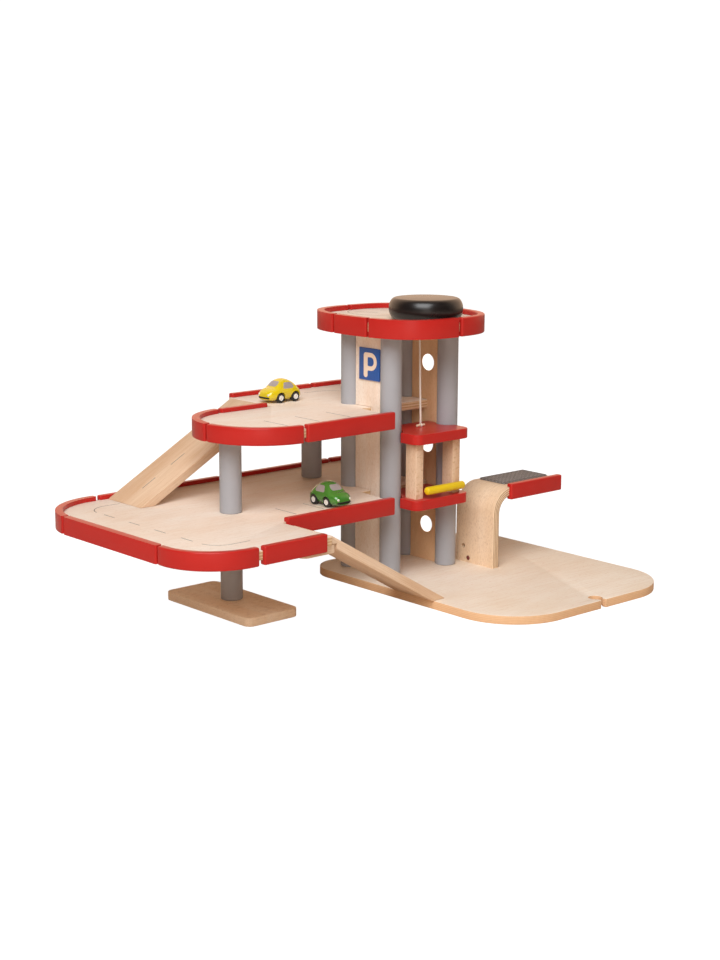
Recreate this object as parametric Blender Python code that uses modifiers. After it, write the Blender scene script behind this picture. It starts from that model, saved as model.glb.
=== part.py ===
"""Toy parking garage of wood: decks on dowel posts, grooved red rails, ramps, a wound lift and two cars.

Lengths below are millimetres. The origin lies under the middle of the four tower posts, on the underside of the
base board. +X runs along the decks towards the stand, +Y towards the back and +Z up.
"""

import math

import bmesh
import bpy
from mathutils import Matrix, Vector

MM = 0.001

# Levels and boards
BOARD = 10.0
BASE_TOP = 10.0
LOWER_BOTTOM = 100.0
MID_BOTTOM = 200.0
ROOF_BOTTOM = 303.4
ROOF_TOP = ROOF_BOTTOM + BOARD
LEVEL_STEP = MID_BOTTOM - LOWER_BOTTOM
EDGE_BREAK = 0.8

# Fits
PLAY = 0.3
TENON_RADIUS = 6.0
TENON_LENGTH = 3.8
BORE_DEPTH = 4.2

# Dowels
DOWEL_RADIUS = 12.5
POST_X = 46.15
POST_Y = 34.75
COLUMN_LEFT = (-248.65, 9.35)
COLUMN_BACK = (-51.45, 102.65)

# Rails: a grooved strip over the board edge
RAIL_OUT = 4.2
RAIL_IN = 4.3
RAIL_HEIGHT = 20.0
ROOF_RAIL_HEIGHT = 22.0
RAIL_BREAK = 1.1
RAIL_END_RADIUS = 2.0
GROOVE = 10.6

# Outlines as corners: x, y and the corner's radius
BASE_CORNERS = (
    (-83.65, -271.35, 75.0),
    (200.35, -271.35, 70.0),
    (200.35, 71.25, 45.0),
    (-83.65, 71.25, 35.0),
)
FOOT_CORNERS = (
    (-284.0, -67.75, 9.0),
    (-217.0, -67.75, 9.0),
    (-217.0, 83.25, 9.0),
    (-284.0, 83.25, 9.0),
)
LOWER_CORNERS = (
    (-238.15, -153.55, 3.0),
    (-238.15, -69.05, 0.0),
    (-73.0, -69.05, 0.0),
    (-65.0, -4.75, 0.0),
    (69.8, -4.75, 3.0),
    (69.8, 161.05, 30.0),
    (-410.95, 161.05, 74.0),
    (-410.95, -153.55, 62.8),
)
MID_CORNERS = (
    (-73.0, -68.55, 0.0),
    (-65.0, -4.75, 0.0),
    (69.8, -4.75, 3.0),
    (69.8, 161.05, 30.0),
    (-134.15, 161.05, 2.0),
    (-134.15, 78.05, 0.0),
    (-281.45, 78.05, 73.2),
    (-281.45, -68.55, 73.2),
)
ROOF_HALF_X = 78.2
ROOF_HALF_Y = 94.0
ROOF_POWER = 2.85
SOCKET_X = 65.85
SOCKET_NECK = 4.0
SOCKET_RADIUS = 8.0
SOCKET_DEPTH = 13.0

# Rails as name, start and end along the board edge, counter-clockwise
LOWER_RAILS = (
    ("lower_rail_right_end", (69.8, 8.0), (28.0, 161.05)),
    ("lower_rail_back_1", (24.0, 161.05), (-146.0, 161.05)),
    ("lower_rail_back_2", (-150.0, 161.05), (-324.5, 161.05)),
    ("lower_rail_left_arc", (-329.5, 161.05), (-410.95, 96.3)),
    ("lower_rail_left", (-410.95, 93.5), (-410.95, -80.8)),
    ("lower_rail_front_arc", (-410.95, -83.6), (-338.5, -153.55)),
    ("lower_rail_front", (-334.2, -153.55), (-248.5, -153.55)),
    ("lower_rail_inner", (-233.5, -69.05), (-73.3, -69.05)),
)
MID_RAILS = (
    ("mid_rail_right_end", (69.8, 8.0), (69.8, 127.0)),
    ("mid_rail_back_1", (66.0, 140.0), (-1.2, 161.05)),
    ("mid_rail_back_2", (-4.4, 161.05), (-131.1, 161.05)),
    ("mid_rail_ramp_side", (-142.6, 78.05), (-210.8, 78.05)),
    ("mid_rail_end_arc", (-215.0, 78.05), (-281.0, 7.5)),
    ("mid_rail_front_arc", (-281.0, 4.5), (-209.0, -68.55)),
    ("mid_rail_front", (-204.0, -68.55), (-73.3, -68.55)),
)
ROOF_RAILS = (
    ("roof_rail_left", (-78.2, 26.5), (-78.2, -28.5)),
    ("roof_rail_front", (-78.0, -31.7), (2.2, -94.0)),
    ("roof_rail_right", (5.5, -94.0), (78.2, -24.4)),
    ("roof_rail_right_back", (78.2, -21.2), (1.2, 94.0)),
    ("roof_rail_left_back", (-2.1, 94.0), (-78.2, 30.0)),
)

# Tower panels
PANEL_HALF = 21.95
SIGN_PANEL_X = (-51.15, -41.15)
WINDOW_PANEL_X = (41.35, 50.85)
TONGUE_Y = -4.75
WINDOW_RADIUS = 10.0
WINDOW_Y = -5.75
WINDOW_Z = (55.5, 155.5, 255.5)
SIGN_Y = (-22.0, 15.3)
SIGN_Z = (242.0, 280.0)
SIGN_THICKNESS = 1.6

# Ramps
RAMP_RUN = 171.0
RAMP_THICKNESS = 10.0
RAMP_GAP = 1.2
LEDGE = 7.0
CLEAT_LENGTH = 44.0
LOWER_RAMP_Y = (-149.3, -86.8)
UPPER_RAMP_Y = (93.0, 155.0)
LOWER_RAMP_TOP = (-238.15, LOWER_BOTTOM + BOARD)
UPPER_RAMP_TOP = (-134.15, MID_BOTTOM + BOARD)

# Lift
LIFT_FLOOR_BOTTOM = 94.5
LIFT_ROOF_BOTTOM = 172.5
LIFT_BOARD = 12.0
LIFT_FRONT_X = 44.0
LIFT_BACK_X = 40.3
LIFT_FRONT_Y = -77.75
LIFT_BACK_Y = -7.25
LIFT_SCOOP = 14.2
LIFT_POST_X = 30.0
LIFT_POST_HALF = 6.0
LIFT_POST_Y = (-67.75, -49.75)
GATE_AXIS = (30.0, -73.2, 116.0)
GATE_RADIUS = 4.8
GATE_LEFT = -25.3
GATE_RIGHT = 37.4
PIN_RADIUS = 1.5

# Winder
KNOB_Y = -43.65
KNOB_RADIUS = 43.5
KNOB_PLAY = 0.6
KNOB_BOTTOM = ROOF_TOP + KNOB_PLAY
KNOB_HEIGHT = 25.0
KNOB_HOLLOW_RADIUS = 30.0
KNOB_HOLLOW = 14.5
SPOOL_RADIUS = 9.0
SPOOL_FLANGE = 14.0
AXLE_RADIUS = 3.0
STRING_Y = -32.75
STRING_RADIUS = 1.0
STRING_TOP = ROOF_TOP + 8.0

# Stand
STAND_X = 70.65
STAND_END = 188.15
STAND_Y = (-91.75, -28.75)
STAND_TOP = 106.8
STAND_BEND = 31.0
STAND_RAIL_X = (96.9, 187.9)
STAND_RAIL_HEIGHT = 19.2
PAD_X = (104.7, 182.9)
PAD_Y = (-75.75, -33.75)
PAD_THICKNESS = 2.0
SCREW = (-49.85, 15.6)
SCREW_HOLE = (-41.55, 29.8)

# Cars
WHEEL_RADIUS = 5.9
WHEEL_BASE = 22.5
CAR_LENGTH = 51.0
CAR_NOSE = 28.5
CAR_HALF_WIDTH = 13.6
CAR_HEIGHT = 25.0
GREEN_PLACE = (-139.85, -31.75, 110.3)
YELLOW_PLACE = (-101.3, 99.2, 210.3)

# Colours
BIRCH = (0.86, 0.74, 0.58)
BEECH = (0.55, 0.32, 0.17)
RED = (0.62, 0.03, 0.02)
GREY = (0.34, 0.33, 0.33)
DARK = (0.03, 0.02, 0.018)
BLUE = (0.03, 0.1, 0.36)
YELLOW = (0.77, 0.56, 0.02)
GREEN = (0.05, 0.32, 0.04)
ROPE = (0.85, 0.74, 0.58)
MESH_GREY = (0.07, 0.07, 0.07)


def clear_scene():
    """Empties the start-up scene and returns the parts' and the cutters' collections."""
    for obj in list(bpy.data.objects):
        bpy.data.objects.remove(obj, do_unlink=True)
    parts = bpy.data.collections.new("toy_parking_garage")
    cutters = bpy.data.collections.new("cutters")
    bpy.context.scene.collection.children.link(parts)
    bpy.context.scene.collection.children.link(cutters)
    return parts, cutters


PARTS, CUTTERS = clear_scene()


def fillet(corners, step=10.0):
    """Returns the outline's points, with each corner rounded to its radius."""
    points = []
    count = len(corners)
    for index, (x, y, radius) in enumerate(corners):
        here = Vector((x, y))
        before = (Vector(corners[index - 1][:2]) - here).normalized()
        after = (Vector(corners[(index + 1) % count][:2]) - here).normalized()
        if radius <= 0:
            points.append((here.x, here.y))
            continue
        half = before.angle(after) / 2
        reach = radius / math.tan(half)
        centre = here + (before + after).normalized() * (radius / math.sin(half))
        start = here + before * reach - centre
        end = here + after * reach - centre
        sweep = start.angle_signed(end)
        steps = max(2, round(abs(math.degrees(sweep)) / step))
        steps = max(1, min(steps, int(abs(sweep) * radius / 0.7)))
        for k in range(steps + 1):
            spoke = start.copy()
            spoke.rotate(Matrix.Rotation(-sweep * k / steps, 2))
            points.append((centre.x + spoke.x, centre.y + spoke.y))
    return points


def circle(x, y, radius, steps=28):
    """Returns a circle's points, counter-clockwise."""
    angles = [2 * math.pi * k / steps for k in range(steps)]
    return [(x + radius * math.cos(a), y + radius * math.sin(a)) for a in angles]


def oval(half_x, half_y, power, steps=44):
    """Returns a squarish oval's points, counter-clockwise; a power of 2 gives an ellipse."""
    points = []
    for k in range(steps):
        angle = 2 * math.pi * k / steps
        c, s = math.cos(angle), math.sin(angle)
        radius = (abs(c / half_x) ** power + abs(s / half_y) ** power) ** (-1 / power)
        points.append((radius * c, radius * s))
    return points


def shifted(points, distance, closed=True):
    """Returns the points moved out to the right of their path by the distance."""
    moved = []
    count = len(points)
    for index in range(count):
        here = Vector(points[index])
        before = Vector(points[index - 1]) if closed or index else None
        after = Vector(points[(index + 1) % count]) if closed or index < count - 1 else None
        into = (here - before).normalized() if before is not None else (after - here).normalized()
        out = (after - here).normalized() if after is not None else into
        sides = [Vector((d.y, -d.x)) for d in (into, out)]
        middle = (sides[0] + sides[1]).normalized()
        place = here + middle * (distance / max(0.3, middle.dot(sides[0])))
        moved.append((place.x, place.y))
    return moved


def along(points, start, end):
    """Returns the open path that follows a closed outline from the point nearest start to the one nearest end."""
    count = len(points)

    def nearest(target):
        best = None
        for index in range(count):
            a = Vector(points[index])
            b = Vector(points[(index + 1) % count])
            share = (Vector(target) - a).dot(b - a) / (b - a).length_squared
            share = min(1.0, max(0.0, share))
            gap = (Vector(target) - a.lerp(b, share)).length
            if best is None or gap < best[0] - 1e-9:
                best = (gap, index, share, a.lerp(b, share))
        return best

    first = nearest(start)
    last = nearest(end)
    path = [first[3]]
    index = first[1]
    while index != last[1]:
        index = (index + 1) % count
        path.append(Vector(points[index]))
    path.append(last[3])
    kept = [path[0]]
    for point in path[1:]:
        if (point - kept[-1]).length > 0.8:
            kept.append(point)
    kept[-1] = path[-1]
    return [(p.x, p.y) for p in kept]


def flat_mesh(name, loops, thickness):
    """Makes a flat board of the first loop, with the other loops as holes, centred on its plane."""
    curve = bpy.data.curves.new(name, "CURVE")
    curve.dimensions = "2D"
    curve.fill_mode = "BOTH"
    curve.extrude = thickness * MM / 2
    for loop in loops:
        spline = curve.splines.new("POLY")
        spline.points.add(len(loop) - 1)
        for point, (x, y) in zip(spline.points, loop):
            point.co = (x * MM, y * MM, 0, 1)
        spline.use_cyclic_u = True
    guide = bpy.data.objects.new(name + "_outline", curve)
    bpy.context.scene.collection.objects.link(guide)
    bpy.context.view_layer.update()
    graph = bpy.context.evaluated_depsgraph_get()
    mesh = bpy.data.meshes.new_from_object(guide.evaluated_get(graph))
    bpy.data.objects.remove(guide, do_unlink=True)
    bpy.data.curves.remove(curve)
    shell = bmesh.new()
    shell.from_mesh(mesh)
    bmesh.ops.remove_doubles(shell, verts=shell.verts, dist=1e-6)
    bmesh.ops.dissolve_limit(
        shell, angle_limit=math.radians(0.5), verts=shell.verts, edges=shell.edges
    )
    bmesh.ops.recalc_face_normals(shell, faces=shell.faces)
    shell.to_mesh(mesh)
    shell.free()
    mesh.name = name
    return mesh


def place(name, mesh, origin, colour=None, roughness=0.5):
    """Adds the mesh as an object at its origin, with a material of its own when it has a colour."""
    obj = bpy.data.objects.new(name, mesh)
    obj.location = Vector(origin) * MM
    if colour is None:
        CUTTERS.objects.link(obj)
        obj.hide_render = True
        obj.display_type = "WIRE"
        return obj
    PARTS.objects.link(obj)
    material = bpy.data.materials.new(name + "_finish")
    material.use_nodes = True
    shader = material.node_tree.nodes["Principled BSDF"]
    shader.inputs["Base Color"].default_value = (*colour, 1.0)
    shader.inputs["Roughness"].default_value = roughness
    mesh.materials.clear()
    mesh.materials.append(material)
    return obj


def soften(obj, width, segments=1):
    """Breaks the sharp edges of the object."""
    bevel = obj.modifiers.new("edges", "BEVEL")
    bevel.width = width * MM
    bevel.segments = segments
    bevel.limit_method = "ANGLE"
    bevel.angle_limit = math.radians(50)
    bevel.use_clamp_overlap = True
    return obj


def cut(obj, cutter):
    """Takes the cutter's shape away from the object."""
    boolean = obj.modifiers.new("cut_" + cutter.name, "BOOLEAN")
    boolean.operation = "DIFFERENCE"
    boolean.solver = "EXACT"
    boolean.object = cutter
    return obj


def board(name, loops, low, high, colour, roughness=0.45, edge=EDGE_BREAK):
    """Makes a level board between two heights."""
    mesh = flat_mesh(name, loops, high - low)
    obj = place(name, mesh, (0, 0, (low + high) / 2), colour, roughness)
    return soften(obj, edge) if edge else obj


def upright(name, loops, axis, low, high, origin, colour, roughness=0.45, edge=0.0):
    """Makes a board from a side outline: across Y from (x, z) points, or across X from (y, z) points."""
    mesh = flat_mesh(name, loops, high - low)
    middle = (low + high) / 2 * MM
    if axis == "Y":
        turn = Matrix.Rotation(math.radians(90), 4, "X")
        mesh.transform(Matrix.Translation((0, middle, 0)) @ turn)
    else:
        turn = Matrix.Rotation(math.radians(90), 4, "Z") @ Matrix.Rotation(math.radians(90), 4, "X")
        mesh.transform(Matrix.Translation((middle, 0, 0)) @ turn)
    mesh.transform(Matrix.Translation(-Vector(origin) * MM))
    obj = place(name, mesh, origin, colour, roughness)
    return soften(obj, edge) if edge else obj


def turned(name, profile, origin, colour=None, axis="Z", steps=24, roughness=0.45):
    """Turns a profile of (radius, height) points round an axis through the origin; both ends lie on the axis."""
    line = bpy.data.meshes.new(name + "_profile")
    points = [(radius * MM, 0, height * MM) for radius, height in profile]
    line.from_pydata(points, [(k, k + 1) for k in range(len(points) - 1)], [])
    guide = bpy.data.objects.new(name + "_profile", line)
    bpy.context.scene.collection.objects.link(guide)
    screw = guide.modifiers.new("turning", "SCREW")
    screw.steps = steps
    screw.render_steps = steps
    screw.use_merge_vertices = True
    screw.merge_threshold = 0.00001
    screw.use_smooth_shade = True
    bpy.context.view_layer.update()
    graph = bpy.context.evaluated_depsgraph_get()
    mesh = bpy.data.meshes.new_from_object(guide.evaluated_get(graph))
    bpy.data.objects.remove(guide, do_unlink=True)
    bpy.data.meshes.remove(line)
    mesh.name = name
    shell = bmesh.new()
    shell.from_mesh(mesh)
    bmesh.ops.remove_doubles(shell, verts=shell.verts, dist=1e-6)
    bmesh.ops.recalc_face_normals(shell, faces=shell.faces)
    shell.to_mesh(mesh)
    shell.free()
    obj = place(name, mesh, origin, colour, roughness)
    if axis == "X":
        obj.rotation_euler = (0, math.radians(90), 0)
    if axis == "Y":
        obj.rotation_euler = (math.radians(90), 0, 0)
    return obj


def drill(obj, name, place_at, radius, low, high, axis="Z", steps=20):
    """Bores a round hole between two positions along the axis."""
    profile = ((0, low), (radius, low), (radius, high), (0, high))
    return cut(obj, turned("bore_" + name, profile, place_at, axis=axis, steps=steps))


def dowel(name, x, y, low, high, colour, roughness=0.4):
    """Makes a round post with a tenon at each end."""
    tip = TENON_LENGTH + PLAY
    profile = (
        (0, low - tip),
        (TENON_RADIUS, low - tip),
        (TENON_RADIUS, low),
        (DOWEL_RADIUS, low),
        (DOWEL_RADIUS, high),
        (TENON_RADIUS, high),
        (TENON_RADIUS, high + tip),
        (0, high + tip),
    )
    return turned(name, profile, (x, y, 0), colour, roughness=roughness)


def seat(obj, name, x, y, face, into):
    """Bores a blind seat for a tenon into a board's face, upwards (1) or downwards (-1)."""
    depth = (BORE_DEPTH + 2 * PLAY) * into
    low, high = sorted((face + depth, face - 5 * into))
    return drill(obj, name, (x, y, 0), TENON_RADIUS + PLAY, low, high)


def rails(deck, outline, low, rail_table, height):
    """Makes the grooved rails of one deck."""
    middle = low + BOARD / 2
    groove = place(
        deck + "_groove",
        flat_mesh(deck + "_groove", [shifted(outline, PLAY)], GROOVE),
        (0, 0, middle),
    )
    for name, start, end in rail_table:
        path = along(outline, start, end)
        outer = shifted(path, RAIL_OUT, closed=False)
        inner = shifted(path, -RAIL_IN, closed=False)
        ring = [(*point, 0.0) for point in outer] + [(*point, 0.0) for point in reversed(inner)]
        for corner in (0, len(outer) - 1, len(outer), len(ring) - 1):
            ring[corner] = (*ring[corner][:2], RAIL_END_RADIUS)
        strip = board(
            name,
            [fillet(ring, 30.0)],
            middle - height / 2,
            middle + height / 2,
            RED,
            0.35,
            RAIL_BREAK,
        )
        cut(strip, groove)


def make_boards():
    """Makes the base, the foot and the three decks, and the rails on the decks."""
    base = board("base_plate", [fillet(BASE_CORNERS)], 0, BASE_TOP, BIRCH)
    front = BASE_CORNERS[0][1]
    key = [
        (SOCKET_X - SOCKET_NECK, front - 5),
        (SOCKET_X + SOCKET_NECK, front - 5),
    ]
    opening = math.degrees(math.asin(SOCKET_NECK / SOCKET_RADIUS))
    for k in range(25):
        angle = math.radians(-90 + opening + (360 - 2 * opening) * k / 24)
        key.append(
            (
                SOCKET_X + SOCKET_RADIUS * math.cos(angle),
                front + SOCKET_DEPTH + SOCKET_RADIUS * math.sin(angle),
            )
        )
    cut(base, place("socket", flat_mesh("socket", [key], BASE_TOP + 10), (0, 0, BASE_TOP / 2)))
    foot = board("foot_plate", [fillet(FOOT_CORNERS)], 0, BOARD, BEECH)

    lower_outline = fillet(LOWER_CORNERS)
    mid_outline = fillet(MID_CORNERS)
    roof_outline = oval(ROOF_HALF_X, ROOF_HALF_Y, ROOF_POWER)
    lower = board("lower_deck", [lower_outline], LOWER_BOTTOM, LOWER_BOTTOM + BOARD, BIRCH)
    mid = board("mid_deck", [mid_outline], MID_BOTTOM, MID_BOTTOM + BOARD, BIRCH)
    roof = board("roof_deck", [roof_outline], ROOF_BOTTOM, ROOF_BOTTOM + BOARD, BIRCH)
    for deck, level in ((lower, LOWER_BOTTOM), (mid, MID_BOTTOM)):
        for label, x in (("left", -POST_X), ("right", POST_X)):
            low, high = level - 5, level + BOARD + 5
            drill(
                deck, f"{deck.name}_{label}", (x, POST_Y, 0), DOWEL_RADIUS + PLAY, low, high, steps=28
            )
    low, high = ROOF_BOTTOM - 5, ROOF_BOTTOM + BOARD + 5
    drill(roof, "axle", (0, KNOB_Y, 0), AXLE_RADIUS + PLAY, low, high, steps=16)
    drill(roof, "string", (0, STRING_Y, 0), STRING_RADIUS + 1.2, low, high, steps=16)
    rails("lower", lower_outline, LOWER_BOTTOM, LOWER_RAILS, RAIL_HEIGHT)
    rails("mid", mid_outline, MID_BOTTOM, MID_RAILS, RAIL_HEIGHT)
    rails("roof", roof_outline, ROOF_BOTTOM, ROOF_RAILS, ROOF_RAIL_HEIGHT)

    for label, x, y in (
        ("front_left", -POST_X, -POST_Y),
        ("front_right", POST_X, -POST_Y),
        ("back_left", -POST_X, POST_Y),
        ("back_right", POST_X, POST_Y),
    ):
        dowel("tower_post_" + label, x, y, BASE_TOP + PLAY, ROOF_BOTTOM - PLAY, GREY)
        seat(base, "base_" + label, x, y, BASE_TOP, -1)
        seat(roof, "roof_" + label, x, y, ROOF_BOTTOM, 1)
    dowel("foot_column", *COLUMN_LEFT, BOARD + PLAY, LOWER_BOTTOM - PLAY, GREY)
    dowel("column_left", *COLUMN_LEFT, LOWER_BOTTOM + BOARD + PLAY, MID_BOTTOM - PLAY, GREY)
    dowel("column_back", *COLUMN_BACK, LOWER_BOTTOM + BOARD + PLAY, MID_BOTTOM - PLAY, GREY)
    seat(foot, "foot", *COLUMN_LEFT, BOARD, -1)
    seat(lower, "lower_under", *COLUMN_LEFT, LOWER_BOTTOM, 1)
    seat(lower, "lower_left", *COLUMN_LEFT, LOWER_BOTTOM + BOARD, -1)
    seat(lower, "lower_back", *COLUMN_BACK, LOWER_BOTTOM + BOARD, -1)
    seat(mid, "mid_left", *COLUMN_LEFT, MID_BOTTOM, 1)
    seat(mid, "mid_back", *COLUMN_BACK, MID_BOTTOM, 1)
    return base


def make_panels():
    """Makes the two tower panels with their half-laps for the decks, and the parking sign."""
    low = BASE_TOP + PLAY
    high = ROOF_BOTTOM - PLAY
    side = [(-PANEL_HALF, low), (PANEL_HALF, low)]
    for level in (LOWER_BOTTOM, MID_BOTTOM):
        side += [
            (PANEL_HALF, level - PLAY),
            (TONGUE_Y - PLAY, level - PLAY),
            (TONGUE_Y - PLAY, level + BOARD + PLAY),
            (PANEL_HALF, level + BOARD + PLAY),
        ]
    side += [(PANEL_HALF, high), (-PANEL_HALF, high)]
    windows = [circle(WINDOW_Y, z, WINDOW_RADIUS) for z in WINDOW_Z]
    upright("sign_panel", [side], "X", *SIGN_PANEL_X, (0, 0, 0), BIRCH, edge=0.5)
    upright("window_panel", [side, *windows], "X", *WINDOW_PANEL_X, (0, 0, 0), BIRCH, edge=0.5)
    face = SIGN_PANEL_X[0] - PLAY
    plate = [
        (SIGN_Y[0], SIGN_Z[0], 2.0),
        (SIGN_Y[1], SIGN_Z[0], 2.0),
        (SIGN_Y[1], SIGN_Z[1], 2.0),
        (SIGN_Y[0], SIGN_Z[1], 2.0),
    ]
    upright(
        "parking_sign", [fillet(plate, 30.0)], "X", face - SIGN_THICKNESS, face, (0, 0, 0), BLUE, 0.4
    )


def make_ramp(name, top, across, hinge_y):
    """Makes a ramp that falls from its top end to the level 100 mm below, towards +X or -X, and its ledge block."""
    towards = 1 if name == "ramp_lower" else -1
    edge_x, deck_top = top
    x0 = edge_x + towards * RAMP_GAP
    slope = LEVEL_STEP / RAMP_RUN
    drop = RAMP_THICKNESS * math.sqrt(1 + slope * slope)
    floor = deck_top - LEVEL_STEP + PLAY

    def top_height(distance):
        return deck_top - slope * distance

    ledge_top = deck_top - BOARD - PLAY
    notch = ledge_top + 2 * PLAY
    toe = (deck_top - floor) / slope
    heel = (deck_top - drop - floor) / slope
    notch_end = LEDGE + 1.5
    side = [
        (0.0, deck_top - 0.4),
        (0.7, top_height(0.7)),
        (toe - 1.2, top_height(toe - 1.2)),
        (toe - 0.6, floor),
        (heel, floor),
        (notch_end, top_height(notch_end) - drop),
        (notch_end, notch),
        (0.0, notch),
    ]
    outline = [(x0 + towards * x, z) for x, z in side]
    if towards > 0:
        outline.reverse()
    upright(name, [outline], "Y", *across, (x0, hinge_y, deck_top), BIRCH, edge=0.5)

    cleat_top = ledge_top - PLAY
    back = edge_x - towards * (CLEAT_LENGTH - LEDGE)
    front = edge_x + towards * LEDGE
    corners = [(min(back, front), across[0]), (max(back, front), across[0])]
    corners += [(max(back, front), across[1]), (min(back, front), across[1])]
    rounded = []
    for x, y in corners:
        rounded.append((x, y + (0.8 if y < 0 and y == across[0] else 0), 9.0 if x == back else 1.5))
    board(
        name.replace("ramp", "cleat"), [fillet(rounded)], cleat_top - BOARD, cleat_top, BIRCH, edge=0.6
    )


def make_lift():
    """Makes the lift car, its barrier and the toggle that holds the string."""
    scoop_half = math.sqrt(LIFT_SCOOP**2 - (POST_X - LIFT_FRONT_X) ** 2)
    scoop_back = math.sqrt(LIFT_SCOOP**2 - (POST_X - LIFT_BACK_X) ** 2)
    front = fillet(
        (
            (-LIFT_FRONT_X, -POST_Y - scoop_half, 0.0),
            (-LIFT_FRONT_X, LIFT_FRONT_Y, 8.0),
            (LIFT_FRONT_X, LIFT_FRONT_Y, 8.0),
            (LIFT_FRONT_X, -POST_Y - scoop_half, 0.0),
        ),
        15.0,
    )
    start = math.atan2(-scoop_half, LIFT_FRONT_X - POST_X)
    end = math.atan2(scoop_back, LIFT_BACK_X - POST_X)
    sweep = (end - start) % (2 * math.pi) - 2 * math.pi
    outline = list(front)
    right = []
    for k in range(1, 12):
        angle = start + sweep * k / 12
        right.append(
            (POST_X + LIFT_SCOOP * math.cos(angle), -POST_Y + LIFT_SCOOP * math.sin(angle))
        )
    right.append((LIFT_BACK_X, -POST_Y + scoop_back))
    right.append((LIFT_BACK_X, LIFT_BACK_Y - 1.5))
    right.append((LIFT_BACK_X - 1.5, LIFT_BACK_Y))
    outline += right
    outline += [(-x, y) for x, y in reversed(right)]
    floor_top = LIFT_FLOOR_BOTTOM + LIFT_BOARD
    floor = board("lift_floor", [outline], LIFT_FLOOR_BOTTOM, floor_top, RED, 0.3, 1.5)
    hole = circle(0, STRING_Y, 1.6, 16)
    roof = board(
        "lift_roof",
        [outline, hole],
        LIFT_ROOF_BOTTOM,
        LIFT_ROOF_BOTTOM + LIFT_BOARD,
        RED,
        0.3,
        0.9,
    )
    middle_y = sum(LIFT_POST_Y) / 2
    half_y = (LIFT_POST_Y[1] - LIFT_POST_Y[0]) / 2
    for label, x in (("left", -LIFT_POST_X), ("right", LIFT_POST_X)):
        low = floor_top + PLAY
        high = LIFT_ROOF_BOTTOM - PLAY
        neck = LIFT_POST_HALF
        side = [
            (x - neck, low - TENON_LENGTH),
            (x + neck, low - TENON_LENGTH),
            (x + neck, high + TENON_LENGTH),
            (x - neck, high + TENON_LENGTH),
        ]
        post = upright(
            "lift_post_" + label, [side], "Y", *LIFT_POST_Y, (0, 0, 0), BIRCH
        )
        pocket = [
            (x - neck - PLAY, middle_y - half_y - PLAY),
            (x + neck + PLAY, middle_y - half_y - PLAY),
            (x + neck + PLAY, middle_y + half_y + PLAY),
            (x - neck - PLAY, middle_y + half_y + PLAY),
        ]
        for board_object, low_cut, high_cut in (
            (floor, floor_top - BORE_DEPTH, floor_top + 5),
            (roof, LIFT_ROOF_BOTTOM - 5, LIFT_ROOF_BOTTOM + BORE_DEPTH),
        ):
            label_cut = f"{board_object.name}_{label}"
            cutter = place(
                "pocket_" + label_cut,
                flat_mesh("pocket_" + label_cut, [pocket], high_cut - low_cut),
                (0, 0, (low_cut + high_cut) / 2),
            )
            cut(board_object, cutter)
        if label == "right":
            drill(
                post,
                "gate_pin",
                (GATE_AXIS[0], 0, GATE_AXIS[2]),
                PIN_RADIUS + PLAY,
                -LIFT_POST_Y[0] - 10.0,
                -LIFT_POST_Y[0] + 5.0,
                "Y",
                16,
            )
    back_end = -LIFT_POST_Y[0] - 9.0
    front_end = -GATE_AXIS[1] + 2.7
    turned(
        "gate_pin",
        ((0, back_end), (PIN_RADIUS, back_end), (PIN_RADIUS, front_end), (0, front_end)),
        (GATE_AXIS[0], 0, GATE_AXIS[2]),
        GREY,
        "Y",
        16,
        0.3,
    )
    left = GATE_LEFT - GATE_AXIS[0]
    right_end = GATE_RIGHT - GATE_AXIS[0]
    ball = [(math.sin(math.radians(a)), math.cos(math.radians(a))) for a in (0, 30, 60, 90)]
    profile = [(3.0 * s + (GATE_RADIUS - 3.0) * (s > 0), left + 3.0 * (1 - c)) for s, c in ball]
    profile += [
        (3.0 * s + (GATE_RADIUS - 3.0) * (s > 0), right_end - 3.0 * (1 - c))
        for s, c in reversed(ball)
    ]
    bar = turned("gate_bar", profile, GATE_AXIS, YELLOW, "X", 24, 0.3)
    drill(bar, "gate_bar", GATE_AXIS, PIN_RADIUS + PLAY, -10, 3.0, "Y", 16)
    toggle_z = LIFT_ROOF_BOTTOM + LIFT_BOARD + 1.9 + PLAY
    turned(
        "string_toggle",
        ((0, -6), (1.4, -6), (1.9, -5.4), (1.9, 5.4), (1.4, 6), (0, 6)),
        (0, STRING_Y, toggle_z),
        BIRCH,
        "X",
        16,
    )


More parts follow.
